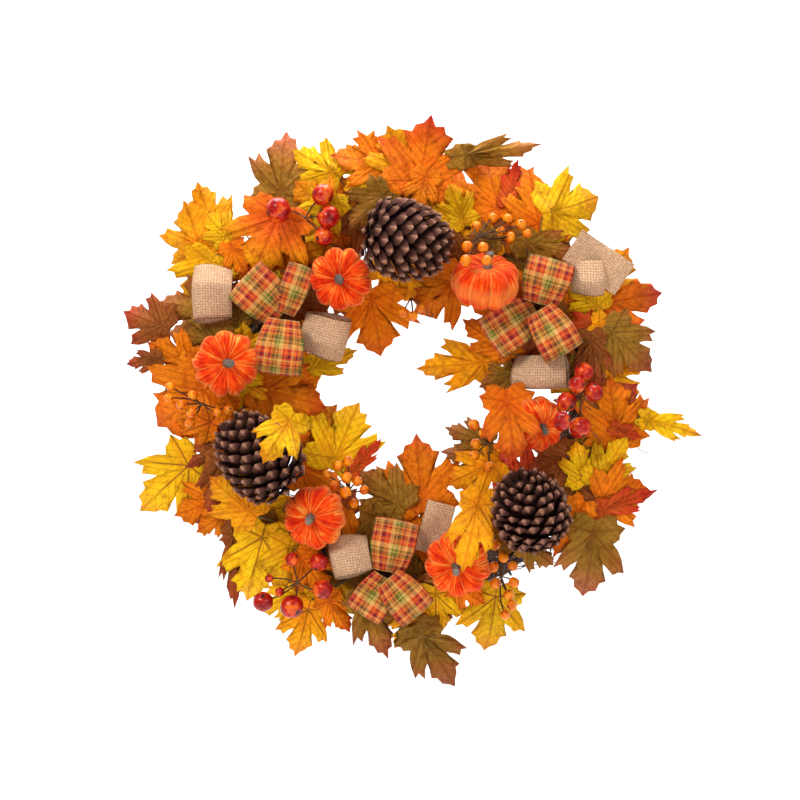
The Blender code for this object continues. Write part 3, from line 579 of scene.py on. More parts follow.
ray_shade = dyed.ramp(rays, (0.36, (0.74, 0.62, 0.50)), (0.52, (1, 1, 1)))
patch_mask = dyed.ramp(patches, (0.52, 0.0), (0.66, 0.42))
dyed_colour = dyed.mix(1.0, tint, shade, "MULTIPLY")
dyed_colour = dyed.mix(1.0, dyed_colour, ray_shade, "MULTIPLY")
dyed_colour = dyed.mix(patch_mask, dyed_colour, dyed.mix(1.0, tint, (0.92, 0.55, 0.30), "MULTIPLY"))
dyed_colour = dyed.mix(vein_mask * 0.62, dyed_colour, dyed.mix(1.0, tint, (0.62, 0.42, 0.35), "MULTIPLY"))
ink = dyed.ramp(ribs, (0.003, 1.0), (0.008, 0.0)) * (1 - printed) * dyed.ramp(span, (0.42, 0.85), (0.50, 0.0))
leaf_cloth = dyed.surface(
    Base_Color=dyed.mix(ink, dyed_colour, (0.10, 0.03, 0.01)),
    Roughness=0.55 + mottle * 0.2,
    Specular_IOR_Level=0.10,
    Normal=dyed.bump(crumple * 1.6 + mottle * 0.4 + weave_x * 0.05 - vein_mask * 0.35, 0.0026, 1.0),
)

moulded = Finish("moulded_stalk")
stalk_plastic = moulded.surface(
    Base_Color=moulded.ramp(moulded.noise(60), (0.35, (0.10, 0.055, 0.02)), (0.65, (0.20, 0.15, 0.04))),
    Roughness=0.5,
    Normal=moulded.bump(moulded.noise(400), 0.0003, 0.5),
)


def reach(x, z):
    """Distance from the middle, measured square to the sides of the dome that the leaves lie on."""
    turns = [math.tau * index / SECTORS for index in range(SECTORS)]
    return np.max([x * math.cos(turn) + z * math.sin(turn) for turn in turns], axis=0)


def droop(x, z):
    """How far the dome falls back from its crest."""
    out = reach(x, z)
    return OUTER_SLOPE * np.maximum(0, out - CREST_OUTER) + INNER_SLOPE * np.maximum(0, CREST_INNER - out)


grid_axis = np.arange(-HALF_GRID, HALF_GRID, CELL)
grid_x, grid_z = np.meshgrid(grid_axis, grid_axis, indexing="ij")
grid_layer = np.zeros(grid_x.shape, int)
grid_front = np.full(grid_x.shape, 0.0)


def cells(x, z):
    """The columns and rows of the grid that these places fall in."""
    return tuple(((np.asarray(place) + HALF_GRID) / CELL).astype(int) for place in (x, z))


def drape(leaf, cloth_side):
    """Brings a leaf forward wherever it would pass through the leaves that are already under it."""
    places = np.array([vert.co for vert in leaf.verts])
    column, row = cells(places[:, 0], places[:, 2])
    nearby = [grid_front[column + across, row + up] for across in (-1, 0, 1) for up in (-1, 0, 1)]
    limit = np.min(nearby, axis=0) - DRAPE_GAP + cloth_side
    shift = dict(zip(leaf.verts, np.maximum(0.0, places[:, 1] - limit)))
    for _ in range(3):
        eased = {}
        for vert, amount in shift.items():
            around = [shift[edge.other_vert(vert)] for edge in vert.link_edges]
            eased[vert] = max(amount, 0.75 * sum(around) / len(around))
        shift = eased
    for vert, amount in shift.items():
        vert.co.y -= amount


def settle(leaf):
    """Marks where a leaf now lies, so that the next ones drape over it."""
    for steps, corners in ((5, 4), (4, 3)):
        quads = []
        for face in leaf.faces:
            places = [vert.co for vert in face.verts]
            if corners == 4 and len(places) == 4:
                quads.append(places)
            if corners == 3 and len(places) > 4:
                middle = sum(places, Vector()) / len(places)
                quads += [(place, place, middle, middle) for place in places]
        quads = np.array(quads)
        shares = np.linspace(0, 1, steps)
        one, two = (part.ravel()[:, None, None] for part in np.meshgrid(shares, shares))
        near = quads[:, 0] * (1 - one) + quads[:, 1] * one
        far = quads[:, 3] * (1 - one) + quads[:, 2] * one
        points = (near * (1 - two) + far * two).reshape(-1, 3)
        np.minimum.at(grid_front, cells(points[:, 0], points[:, 2]), points[:, 1])


def next_layer(base, tip, breadth):
    """The first free layer over a leaf's diamond, which it then takes."""
    lead = tip - base
    length = lead.length
    lead = lead / length
    forward = (grid_x - base.x) * lead.x + (grid_z - base.y) * lead.y
    sideways = abs((grid_x - base.x) * lead.y - (grid_z - base.y) * lead.x)
    under = (forward > -0.05 * length) & (forward < length)
    under &= sideways < 0.5 * breadth * np.minimum(length, 1.6 * (length - forward))
    layer = grid_layer[under].max() + 1
    grid_layer[under] = layer
    return layer


def maple_leaf(base, tip, breadth, back, dye, draw, lifted):
    """One pressed leaf: its cut outline, drawn in to the vein hub in rings, then curled and tinted."""
    lead = (tip - base) * FULLER_LENGTH
    breadth *= FULLER_BREADTH
    length = lead.length
    lead = lead / length
    outline = [*HALF_MAPLE, (0, 1.0), *((-x, z) for x, z in reversed(HALF_MAPLE))]
    leaf = bmesh.new()
    circle = bmesh.ops.create_circle(leaf, segments=len(outline), radius=1)["verts"]
    for vert, (x, z) in zip(circle, outline):
        wobble = 1 + draw.uniform(-0.035, 0.035)
        vert.co = (x * wobble, 0, z * wobble if z < 1 else z)
    hub = Vector((0, 0, VEIN_HUB))
    rim = leaf.edges[:]
    for shrink in HUB_RINGS:
        inner = bmesh.ops.extrude_edge_only(leaf, edges=rim)["geom"]
        rim = [item for item in inner if isinstance(item, bmesh.types.BMEdge)]
        verts = [item for item in inner if isinstance(item, bmesh.types.BMVert)]
        bmesh.ops.scale(leaf, verts=verts, vec=(shrink, 1, shrink), space=Matrix.Translation(-hub))
    bmesh.ops.contextual_create(leaf, geom=rim)
    front = bmesh.ops.extrude_face_region(leaf, geom=leaf.faces[:])["geom"]
    front = [item for item in front if isinstance(item, bmesh.types.BMVert)]
    bmesh.ops.translate(leaf, verts=front, vec=(0, -LEAF_CLOTH, 0))
    uv = leaf.loops.layers.uv.new("leaf")
    colour = leaf.verts.layers.float_color.new("dye")
    for face in leaf.faces:
        for corner in face.loops:
            corner[uv].uv = (corner.vert.co.x * breadth, corner.vert.co.z)
    has_ink = (round(tip.x), round(tip.y)) in PRINTED_VEINS
    body, edge, end = (Vector(shade) for shade in DYES[dye])
    warm = draw.uniform(-0.10, 0.14)
    blush = max(draw.uniform(0.35, 1.0), dye in ("scarlet", "flame"))
    fold, cup, curl = draw.uniform(-0.42, 0.22), draw.uniform(-0.30, 0.14), draw.uniform(-0.70, 0.45)
    sway, pleat, phase = draw.uniform(-0.3, 0.3), draw.uniform(0.015, 0.04), draw.uniform(0, math.tau)
    lobes = draw.uniform(0.09, 0.22)
    if lifted:
        fold, cup, curl, lobes = 0.3 * fold, 0.3 * cup, 0.3 * curl, 0.3 * lobes
    cloth_side = np.array([vert.co.y for vert in leaf.verts])
    for vert in leaf.verts:
        x, z = vert.co.x * breadth, vert.co.z
        out = math.hypot(vert.co.x, z - VEIN_HUB)
        bearing = math.atan2(abs(vert.co.x), z - VEIN_HUB)
        tipped = max(0.0, min(1.0, (out - 0.42) / 0.42))
        shade = body.lerp(edge, min(1.0, out * 1.7)).lerp(end, tipped * blush)
        shade *= 1 + warm + 0.08 * math.sin(3 * bearing + phase)
        vert[colour] = (*(max(0.0, min(1.0, part)) for part in shade), 1 - has_ink)
        rise = fold * abs(x) + cup * (x * x + (z - 0.4) ** 2) + curl * max(0.0, z - 0.45) ** 2 * 2
        rise += sway * x * z + pleat * math.cos(7.8 * bearing) * out * 1.6
        signed = math.copysign(bearing, vert.co.x)
        rise += lobes * math.sin(4.5 * signed + phase) * max(0.0, out - 0.25) ** 1.3
        vert.co = (x * length, vert.co.y - rise * length, z * length)
    tilt = Matrix.Rotation(math.radians(draw.uniform(-7, 7)), 4, "Z")
    pitch = Matrix.Rotation(math.radians(draw.uniform(-5, 8)), 4, "X")
    centred = Matrix.Translation((0, 0, length / 2))
    leaf.transform(centred @ pitch @ tilt @ centred.inverted())
    leaf.transform(
        Matrix(((lead.y, 0, lead.x, base.x), (0, 1, 0, 0), (-lead.x, 0, lead.y, base.y), (0, 0, 0, 1)))
    )
    for vert in leaf.verts:
        share = ((vert.co.x - base.x) * lead.x + (vert.co.z - base.y) * lead.y) / length
        risen = max(0.0, min(1.0, share * 1.5))
        forward = lifted * (0.5 + 0.5 * risen * risen * (3 - 2 * risen))
        vert.co.y += back + float(droop(vert.co.x, vert.co.z)) - forward
    if not lifted:
        drape(leaf, cloth_side)
        settle(leaf)
    leaf.normal_update()
    bmesh.ops.recalc_face_normals(leaf, faces=leaf.faces[:])
    return leaf


posts = []
for index in range(SPRAYS):
    turn = math.tau * (index + 0.5) / SPRAYS
    posts.append(Vector((math.cos(turn), math.sin(turn))) * SPRAY_RADIUS)
filler_draw = random.Random(77)
fillers = []
for index in range(FILLERS):
    turn = math.tau * (index + filler_draw.uniform(-0.4, 0.4)) / FILLERS
    outward = index % 3 != 0
    root = filler_draw.uniform(186, 200) if outward else FILLER_ROOT
    base = Vector((math.cos(turn), math.sin(turn))) * root
    heading = turn + filler_draw.uniform(-1.1, 1.1) + (0 if outward else math.pi)
    tip = base + Vector((math.cos(heading), math.sin(heading))) * filler_draw.uniform(50, 66)
    dye = filler_draw.choice(FILLER_DYES)
    if math.hypot(tip.x - CLEARING_X, tip.y - CLEARING_Z) < CLEARING_RADIUS:
        continue
    fillers.append((base.x, base.y, tip.x, tip.y, filler_draw.uniform(0.75, 0.95), dye))
spray_slots = {part["node"]: part["material_slot"] for part in frame["record"]["subparts"]}
leaf_draw = random.Random(100)
cloths = [bmesh.new() for _ in posts]
stalks = [[] for _ in posts]
for order, (x0, z0, x1, z1, breadth, dye) in enumerate((*fillers, *TUCKED, *LEAVES)):
    base, tip = Vector((x0, z0)), Vector((x1, z1))
    index = min(range(SPRAYS), key=lambda spot: (posts[spot] - base).length)
    post = posts[index]
    lifted = LIFTED.get((round(x1), round(z1)), 0.0)
    layer = next_layer(base, tip, breadth) if order >= len(fillers) else 0
    back = DOME_FRONT - LEAF_PITCH * layer
    leaf = maple_leaf(base, tip, breadth, back, dye, leaf_draw, lifted)
    hub = base + (tip - base) * VEIN_HUB
    depths = []
    for spot in (base, hub):
        nearest = min(leaf.verts, key=lambda vert: (vert.co.x - spot.x) ** 2 + (vert.co.z - spot.y) ** 2)
        depths.append(nearest.co.y)
    join(cloths[index], as_mesh(leaf, "leaf"))
    start = Vector((post.x, DOME_FRONT + 8, post.y))
    leave = Vector((base.x, depths[0] + 1.8, base.y))
    end = Vector((hub.x, depths[1] + 1.3, hub.y))
    middle = start.lerp(leave, 0.55) + Vector((0, 3.5, 0))
    points = [start.lerp(middle, step / 4).lerp(middle.lerp(leave, step / 4), step / 4) for step in range(5)]
    stalks[index].append((points + [end], STALK_TAPER, False))
for index, post in enumerate(posts):
    name = f"leaf_spray_{index + 1:02d}"
    slot = spray_slots[name]
    add_piece(name + "_leaves", cloths[index], leaf_cloth, name, slot)
    points = [Vector((post.x, DOME_FRONT + depth, post.y)) for depth in POST_DEPTHS]
    stalks[index].append((points, POST_TAPER, False))
    add_piece(name + "_stalks", wires(stalks[index], 6), stalk_plastic, name, slot)

# Pine cones: dry open cones, each a woody core carrying overlapping scales in a spiral, darkened with painted
# shade where they are tucked in and paler on the thick ridged tips.
# Centre x, z, radius, half length and axis from butt to tip.
CONES = (
    (-3, 163, 42, 46, (0.95, -0.10, -0.25)),
    (-156, -60, 41, 48, (-0.62, -0.15, 0.75)),
    (125, -116, 40, 42, (-0.35, -0.45, 0.80)),
)
SCALES, CONE_SWELL, CORE_WIDE, CORE_LONG = 128, 1.04, 0.5, 0.82
SCALE_TIP, SCALE_LIFT = 1.16, 0.13
# From root to tip of a scale one unit long: how far along, and its width and thickness there.
SCALE_SECTIONS = (
    (0.50, 0.20, 0.05), (0.80, 0.31, 0.10), (0.98, 0.27, 0.15), (1.06, 0.12, 0.11), (SCALE_TIP, 0.03, 0.04)
)
GOLDEN_TURN = math.pi * (3 - math.sqrt(5))

woody = Finish("cone_scale")
blade_place = woody.node("UVMap", settings={"uv_map": "scale"})
ridge = woody.node("SeparateXYZ", "Y", Vector=blade_place).math("ABSOLUTE")
tip_share = woody.node("SeparateXYZ", "X", Vector=blade_place) - ridge * 0.13
fleck = woody.noise(520, detail=6, rough=0.75)
# Painted shade: each scale darkens to near black towards its root, where it is tucked in among the others;
# the paler ridged tips are the wood's own colour.
wood_and_root_shade = woody.ramp(
    tip_share, (0.40, (0.012, 0.004, 0.003)), (0.64, (0.062, 0.020, 0.013)),
    (0.82, (0.115, 0.042, 0.027)), (0.93, (0.50, 0.24, 0.150)),
)
cone_wood = woody.surface(
    Base_Color=woody.mix(woody.ramp(fleck, (0.42, 0.0), (0.62, 0.75)), wood_and_root_shade, (0.070, 0.024, 0.016)),
    Roughness=0.72 + fleck * 0.2,
    Specular_IOR_Level=0.12,
    Normal=woody.bump(woody.noise(420, detail=7, rough=0.7), 0.0022, 1.0),
)


def front_and_back(node):
    """How far forward and how far back a CAD node reaches."""
    low, high = (Vector(corner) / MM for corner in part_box(node))
    return low.y, high.y


def turned_to(axis):
    """Turns a shape that stands along +Z to stand along this axis."""
    return Vector((0, 0, 1)).rotation_difference(Vector(axis)).to_matrix().to_4x4()


def close_end(shape):
    """Caps the open end of an extruded shape, and turns its faces outwards."""
    bmesh.ops.contextual_create(shape, geom=[edge for edge in shape.edges if edge.is_boundary])
    bmesh.ops.recalc_face_normals(shape, faces=shape.faces[:])


def scale_blade():
    """One cone scale along +X: a thin root widening to a thick ridged tip with a small spine."""
    blade = bmesh.new()
    bmesh.ops.create_circle(blade, cap_ends=True, segments=4, radius=1)
    blade.transform(Matrix.Rotation(math.pi / 2, 4, "Y"))
    for vert in blade.verts:
        vert.co = (0, vert.co.y * 0.10, vert.co.z * 0.06)
    face = blade.faces[:][0]
    for along, wide, thick in SCALE_SECTIONS:
        face = bmesh.ops.extrude_discrete_faces(blade, faces=[face])["faces"][0]
        lift = SCALE_LIFT * along * along
        for vert in face.verts:
            turn = math.atan2(vert.co.z, vert.co.y)
            vert.co = (along, wide * math.cos(turn), thick * math.sin(turn) + lift)
    close_end(blade)
    uv = blade.loops.layers.uv.new("scale")
    for item in blade.faces:
        for corner in item.loops:
            corner[uv].uv = (corner.vert.co.x / SCALE_TIP, corner.vert.co.y / 0.3)
    return as_mesh(blade, "scale")


blade_mesh = scale_blade()
for number, (x, z, radius, half, axis) in enumerate(CONES):
    draw = random.Random(30 + number)
    name = f"pine_cone_{number + 1}"
    place = Matrix.Translation((x, sum(front_and_back(name)) / 2, z)) @ turned_to(axis)
    radius, half = radius * CONE_SWELL, half * CONE_SWELL
    cone = bmesh.new()
    bmesh.ops.create_uvsphere(cone, u_segments=20, v_segments=12, radius=1)
    core = (radius * CORE_WIDE, radius * CORE_WIDE, half * CORE_LONG)
    bmesh.ops.scale(cone, verts=cone.verts[:], vec=core)
    # The core keeps its scale UVs at zero, so it takes the near-black painted shade of the scale roots.
    cone.loops.layers.uv.new("scale")
    for index in range(SCALES):
        share = (index + 0.5) / SCALES
        polar = math.acos(1 - 2 * (0.015 + 0.97 * share))
        wide = radius * math.sin(polar) ** 0.75 * (1 - 0.14 * math.cos(polar))
        height = half * math.cos(polar)
        open_by = math.radians(52 - 42 * share) if share < 0.85 else math.radians(-6 - 60 * (share - 0.85))
        size = radius * (0.36 + 0.26 * math.sin(polar)) * draw.uniform(0.93, 1.07)
        out = Vector((math.cos(open_by), 0, math.sin(open_by)))
        root = Vector((wide, 0, height)) - out * size * 1.06
        turn_up = Matrix.Rotation(-open_by + draw.uniform(-0.08, 0.08), 4, "Y")
        spin = Matrix.Rotation(index * GOLDEN_TURN, 4, "Z")
        blade = blade_mesh.copy()
        blade.transform(spin @ Matrix.Translation(root) @ turn_up @ Matrix.Scale(size, 4))
        join(cone, blade)
    cone.transform(place)
    add_piece(name + "_scales", cone, cone_wood, name, "cone", smooth=False)

# Stuffed pumpkins: crushed velvet bags filled with fibre and drawn in by threads from end to end, so that
# they bulge in ribs, with a moulded stem glued in the dimple.
# Centre x, z, radius and axis of the stem.
PUMPKINS = (
    (-71, 124, 32.5, (-0.10, -1.0, -0.10)),
    (79, 121, 36, (0.10, -0.55, 0.85)),
    (-190, 36, 34, (0.12, -1.0, 0.0)),
    (-98, -123, 33, (-0.25, -1.0, -0.05)),
    (51, -172, 34, (-0.15, -1.0, -0.15)),
    (134, -27, 29, (0.35, -1.0, -0.30)),
)
PUMPKIN_HEIGHT, PUMPKIN_RIBS, FILLED = 0.74, 9, 0.9
STEM_LENGTH, STEM_BEND, STEM_WIDTHS = 17.0, 3.2, (5.6, 4.3, 3.6, 3.3, 3.2, 3.5, 3.9)

pile = Finish("crushed_velvet")
groove = pile.node("VertexColor", "Color", settings={"layer_name": "bulge"})
streak = pile.node("Attribute", "Vector", settings={"attribute_name": "streak"})
brushed = pile.noise(5.5, streak, detail=6, rough=0.72)
rim = (pile.node("SeparateXYZ", "Z", Vector=streak) * 5).math("SINE")
crush = pile.noise(60, detail=4)
velvet_colour = pile.ramp(
    crush * 0.35 + brushed * 0.65, (0.41, (0.48, 0.008, 0.001)), (0.48, (0.76, 0.036, 0.001)),
    (0.54, (0.84, 0.085, 0.003)), (0.60, (0.90, 0.32, 0.05)),
)
# Painted sheen: the velvet is mixed towards pale orange in a band round each pumpkin's middle, where its side
# turns away; it is also made paler in the rib grooves.
paler_grooves_and_rim_sheen = pile.ramp(groove, (0.05, 0.5), (0.35, 0.0)) + pile.ramp(rim, (0.93, 0.0), (1.0, 0.40))
velvet = pile.surface(
    Base_Color=pile.mix(paler_grooves_and_rim_sheen, velvet_colour, (0.92, 0.32, 0.06)),
    Specular_IOR_Level=0.1,
    Roughness=0.85,
    Sheen_Weight=0.22,
    Sheen_Roughness=0.35,
    Sheen_Tint=(1.0, 0.62, 0.35, 1),
    Normal=pile.bump(pile.noise(1500, detail=2) * 0.4 + brushed, 0.0012, 0.9),
)
woodlike = Finish("moulded_pumpkin_stem")
stem_finish = woodlike.surface(
    Base_Color=woodlike.ramp(
        woodlike.noise(90, detail=6), (0.3, (0.045, 0.036, 0.028)), (0.55, (0.13, 0.105, 0.08)),
        (0.75, (0.25, 0.21, 0.16)),
    ),
    Roughness=0.75,
    Normal=woodlike.bump(woodlike.noise(500, detail=5), 0.0008, 0.8),
)

for number, (x, z, radius, axis) in enumerate(PUMPKINS):
    draw = random.Random(60 + number)
    name = f"pumpkin_{number + 1}"
    place = Matrix.Translation((x, sum(front_and_back(name)) / 2, z)) @ turned_to(axis)
    height = radius * PUMPKIN_HEIGHT
    bag = bmesh.new()
    bmesh.ops.create_uvsphere(bag, u_segments=PUMPKIN_RIBS * 12, v_segments=36, radius=1)
    bulge = bag.verts.layers.float_color.new("bulge")
    streak = bag.verts.layers.float_vector.new("streak")
    offsets = [draw.uniform(-0.05, 0.05) for _ in range(PUMPKIN_RIBS + 1)]
    for vert in bag.verts:
        polar = math.acos(max(-1.0, min(1.0, vert.co.z)))
        turn = math.atan2(vert.co.y, vert.co.x)
        rib = abs(math.sin(PUMPKIN_RIBS * turn / 2)) ** 0.55
        which = int((turn + math.pi) / math.tau * PUMPKIN_RIBS) % PUMPKIN_RIBS
        swell = 1 + offsets[which] * rib
        out = radius * math.sin(polar) ** 0.8 * (0.88 + 0.13 * rib) * swell
        dimple = 0.62 + 0.5 * math.sin(polar) - 0.10 * (1 - rib) * math.sin(polar)
        wrinkle = 0.25 * math.sin(40 * polar + 6 * turn) * (1 - rib) * math.sin(polar)
        vert.co = (out * math.cos(turn), out * math.sin(turn), height * math.cos(polar) * dimple + wrinkle)
        vert[bulge] = (rib, rib, rib, 1)
        vert[streak] = (3 * math.cos(turn), 3 * math.sin(turn), 0.2 * polar)
    bag.transform(place)
    piece = add_piece(name + "_bag", bag, velvet, name, "velvet")
    stem = bmesh.new()
    bmesh.ops.create_circle(stem, cap_ends=True, segments=20, radius=1)
    face = stem.faces[:][0]
    lean = draw.uniform(0, math.tau)
    last = 0.0
    for step, wide in enumerate(STEM_WIDTHS):
        rise = STEM_LENGTH * step / (len(STEM_WIDTHS) - 1)
        if step:
            face = bmesh.ops.extrude_discrete_faces(stem, faces=[face])["faces"][0]
        bend = STEM_BEND * (rise / STEM_LENGTH) ** 2
        for vert in face.verts:
            turn = math.atan2(vert.co.y - last * math.sin(lean), vert.co.x - last * math.cos(lean))
            ridge = wide * (1 + 0.13 * math.cos(5 * turn + step * 0.25))
            x = ridge * math.cos(turn) + bend * math.cos(lean)
            y = ridge * math.sin(turn) + bend * math.sin(lean)
            vert.co = (x, y, rise)
        last = bend
    close_end(stem)
    stem.transform(place @ Matrix.Translation((0, 0, height * 0.62 - 0.6)))
    piece = add_piece(name + "_stem_moulding", stem, stem_finish, name + "_stem", "stem")
    piece.data.set_sharp_from_angle(angle=math.radians(55))

# Berry picks: hard foam balls dipped in gloss lacquer, each with a dark blossom end, on thin wrapped
# wires twisted together at the fork.
# The fork's x, z and reach, then each berry's x, z, radius and how far it stands forward.
BERRY_PICKS = {
    "orange_berries_1": (
        (70, 166, 44),
        ((87, 188, 5, 8), (103, 187, 5, 8), (70, 179, 5, 8), (95, 174, 5, 12), (117, 181, 5, 8)),
        ((123, 172, 4.6, 8), (105, 168, 5, 14), (60, 156, 5.4, 44), (76, 155, 5, 50)),
        ((58, 141, 5.6, 60), (79, 141, 5, 63)),
    ),
    "orange_berries_2": (
        (-216, -6, 8),
        ((-249, 12, 4.6, 8), (-250, 0, 4.6, 8), (-237, -7, 4.8, 12), (-226, -16, 4.8, 14)),
        ((-225, 3, 4.8, 10), (-228, -26, 4.8, 8), (-199, -15, 4.8, 12), (-188, -12, 4.8, 8)),
    ),
    "orange_berries_3": (
        (-62, -97, 14),
        ((-86, -80, 4.6, 8), (-74, -71, 5, 10), (-64, -66, 5, 10), (-65, -83, 5.4, 16)),
        ((-54, -87, 4.8, 12), (-78, -91, 4.8, 16), (-66, -98, 5.4, 22), (-58, -110, 4.8, 10)),
        ((-47, -96, 4.6, 8),),
    ),
    "orange_berries_4": (
        (96, -186, 8),
        ((90, -153, 5, 8), (98, -166, 5, 12), (108, -175, 4.8, 8), (88, -176, 5.2, 12)),
        ((90, -193, 5.2, 12), (109, -192, 5.2, 14), (104, -205, 5, 10), (107, -216, 5, 8)),
        ((100, -226, 4.6, 8),),
    ),
    "orange_berries_5": (
        (85, -46, 8),
        ((68, -28, 5.4, 10), (78, -36, 4.8, 14), (89, -33, 4.8, 10), (70, -48, 5, 8)),
        ((94, -52, 5, 14), (69, -60, 4.8, 8), (84, -72, 4.8, 8), (98, -26, 4.8, 8)),
    ),
    "orange_berries_6": (
        (2, 104, 6),
        ((4, 86, 4.6, 10), (-6, 90, 4.4, 6), (12, 94, 4.2, 6)),
    ),
    "red_berries_1": (
        (-108, 188, 12),
        ((-136, 196, 12, 14), (-90, 212, 10.5, 13), (-84, 189, 11, 14), (-89, 169, 9, 12)),
    ),
    "red_berries_2": (
        (-116, -192, 10),
        ((-152, -212, 9.5, 12), (-122, -217, 11, 13), (-94, -171, 8.5, 11), (-90, -199, 9.5, 13)),
        ((-122, -168, 6.5, 9), (-135, -202, 4.5, 9), (-146, -188, 4, 9)),
    ),
    "red_berries_3": (
        (178, 3, 14),
        ((182, 27, 9, 12), (192, 6, 9, 13), (164, -4, 9.5, 15), (157, -24, 9, 44)),
        ((178, -31, 10.5, 14), (174, 14, 8, 26)),
    ),
}


def lacquer(name, low, middle, high, patchy):
    """Dipped lacquer: the dye runs from low to high, with blotches, and a dark blossom end."""
    coat = Finish(name)
    cloud = coat.noise(patchy, detail=4, rough=0.6)
    mark = coat.node("VertexColor", "Color", settings={"layer_name": "end"})
    dark = coat.ramp(mark, (0.55, 0.0), (0.8, 1.0))
    colour = coat.ramp(cloud, (0.34, low), (0.50, middle), (0.68, high))
    return coat.surface(
        Base_Color=coat.mix(dark, colour, (0.035, 0.015, 0.010)),
        Roughness=0.16 + cloud * 0.10 + dark * 0.4,
        Specular_IOR_Level=0.2,
        Coat_Weight=0.14,
        Coat_Roughness=0.06,
        Normal=coat.bump(coat.noise(700), 0.0003, 0.5),
    )


orange_dye = (0.50, 0.060, 0.001), (0.74, 0.17, 0.002), (0.84, 0.29, 0.004)
red_dye = (0.16, 0.003, 0.003), (0.46, 0.010, 0.005), (0.84, 0.15, 0.008)
LACQUERS = {
    "orange": lacquer("orange_lacquer", *orange_dye, 130),
    "red": lacquer("red_lacquer", *red_dye, 75),
}
wrapped = Finish("wrapped_wire")
wrapped_wire = wrapped.surface(
    Base_Color=wrapped.ramp(
        wrapped.noise(150), (0.4, (0.045, 0.018, 0.009)), (0.6, (0.12, 0.058, 0.024))
    ),
    Roughness=0.7,
    Specular_IOR_Level=0.1,
    Normal=wrapped.bump(wrapped.noise(900), 0.0003, 0.6),
)


def berry(centre, radius, ribbed, draw):
    """One ball, a little flattened, with its blossom end turned to one side."""
    ball = bmesh.new()
    bmesh.ops.create_uvsphere(ball, u_segments=24, v_segments=16, radius=1)
    end = ball.verts.layers.float_color.new("end")
    for vert in ball.verts:
        polar = math.acos(max(-1.0, min(1.0, vert.co.z)))
        turn = math.atan2(vert.co.y, vert.co.x)
        furrow = 1 - ribbed * 0.05 * (1 - abs(math.sin(3 * turn))) * math.sin(polar)
        near = max(0.0, 1 - polar / 0.42)
        vert.co *= radius * furrow
        vert.co.z *= 0.94
        dent = 0.22 * near * near if near < 0.75 else 0.12 - 0.48 * (near - 0.75)
        vert.co.z -= radius * dent
        vert[end] = (near * 1.4, near * 1.4, near * 1.4, 1)
    face = (draw.uniform(-1, 1), -0.35, draw.uniform(-1, 1))
    ball.transform(Matrix.Translation(centre) @ turned_to(face))
    return as_mesh(ball, "berry")


BERRY_SWELL, BERRY_SINK, PICK_WIRE, PICK_STEPS = 1.15, 7, 0.9, 9
FORK_DEPTHS, FORK_TAPER = (0, 6, 12), (2.0, 1.6, 1.3)
for order, (name, (fork, *rows)) in enumerate(BERRY_PICKS.items()):
    draw = random.Random(200 + order)
    berries = [item for row in rows for item in row]
    front = front_and_back(name)[0]
    rest = front - BERRY_SINK + max(max(forward, radius + 1.5) + radius for _, _, radius, forward in berries)
    start = Vector((fork[0], rest - fork[2], fork[1]))
    kind = name.split("_")[0]
    balls, stalks = bmesh.new(), []
    for x, z, radius, forward in berries:
        centre = Vector((x, rest - max(forward, radius + 1.5), z))
        join(balls, berry(centre, radius * BERRY_SWELL, 1.0 if kind == "red" else 0.35, draw))
        bow = Vector((draw.uniform(-3, 3), draw.uniform(0, 4), draw.uniform(-3, 3)))
        points = []
        for step in range(PICK_STEPS):
            share = step / (PICK_STEPS - 1)
            points.append(start.lerp(centre, share) + bow * math.sin(math.pi * share))
        stalks.append((points, [PICK_WIRE] * (PICK_STEPS - 1) + [0.7], False))
    fork_tail = [start + Vector((0, depth, 0)) for depth in FORK_DEPTHS]
    stalks.append((fork_tail, FORK_TAPER, False))
    add_piece(name + "_balls", balls, LACQUERS[kind], name, f"{kind}_berry")
    add_piece(name + "_wires", wires(stalks, 6), wrapped_wire, name, f"{kind}_berry")

# Ribbon bows: wired ribbon two inches wide, folded into open loops whose ends are gathered under a wire
# tie, in a woven autumn plaid with natural burlap loops and tails behind.
# Loops: centre x, z, heading in degrees, length, width and depth.
PLAID_LOOPS = {
    "bow_1_plaid_loop_1": (-157, 109, 135, 44, 46, 28),
    "bow_1_plaid_loop_2": (-111, 115, 90, 44, 25, 26),
    "bow_1_plaid_loop_3": (-138, 50, 270, 48, 46, 28),
    "bow_2_plaid_loop_1": (146, 125, 80, 38, 46, 27),
    "bow_2_plaid_loop_2": (102, 76, 220, 44, 44, 30),
    "bow_2_plaid_loop_3": (158, 66, 285, 38, 40, 27),
    "bow_3_plaid_loop_1": (-14, -152, 85, 46, 43, 28),
    "bow_3_plaid_loop_2": (-44, -208, 255, 36, 37, 26),
    "bow_3_plaid_loop_3": (4, -207, 290, 36, 39, 26),
}
BURLAP_LOOPS = {
    "bow_1_burlap_loop_1": (-208, 111, 180, 34, 54, 24),
    "bow_1_burlap_loop_2": (-87, 64, 345, 42, 40, 26),
    "bow_2_burlap_loop_1": (190, 126, 0, 28, 34, 22),
    "bow_2_burlap_loop_2": (137, 25, 270, 28, 56, 24),
    "bow_3_burlap_loop": (-64, -164, 190, 34, 38, 24),
}
BURLAP_TAILS = {
    "bow_2_burlap_tail": (198, 142, 326, 66, 38),
    "bow_3_burlap_tail": (27, -136, 75, 54, 30),
}
BOW_TIES = ((-130, 85), (135, 95), (-23, -185))
RIBBON_CLOTH, SELVAGE = 0.5, 4
BURLAP_ROLL = math.radians(14)
# How far the gathers leave the ribbon its width, and how sharply a loop is creased, for each cloth.
GATHERS = {"plaid": (0.66, 0.0), "burlap": (0.85, 15.0)}
PLAID_STAGGER, TAIL_FORWARD, TAIL_CELLS = 3.5, 16, 8
# In metres: the width of one repeat of the check, and from one jute thread to the next.
SETT, JUTE_PITCH = 0.029, 0.0025
TIE_TURNS, TIE_STEPS, TIE_RADIUS, TIE_WIRE = 9, 160, 3.3, 0.85


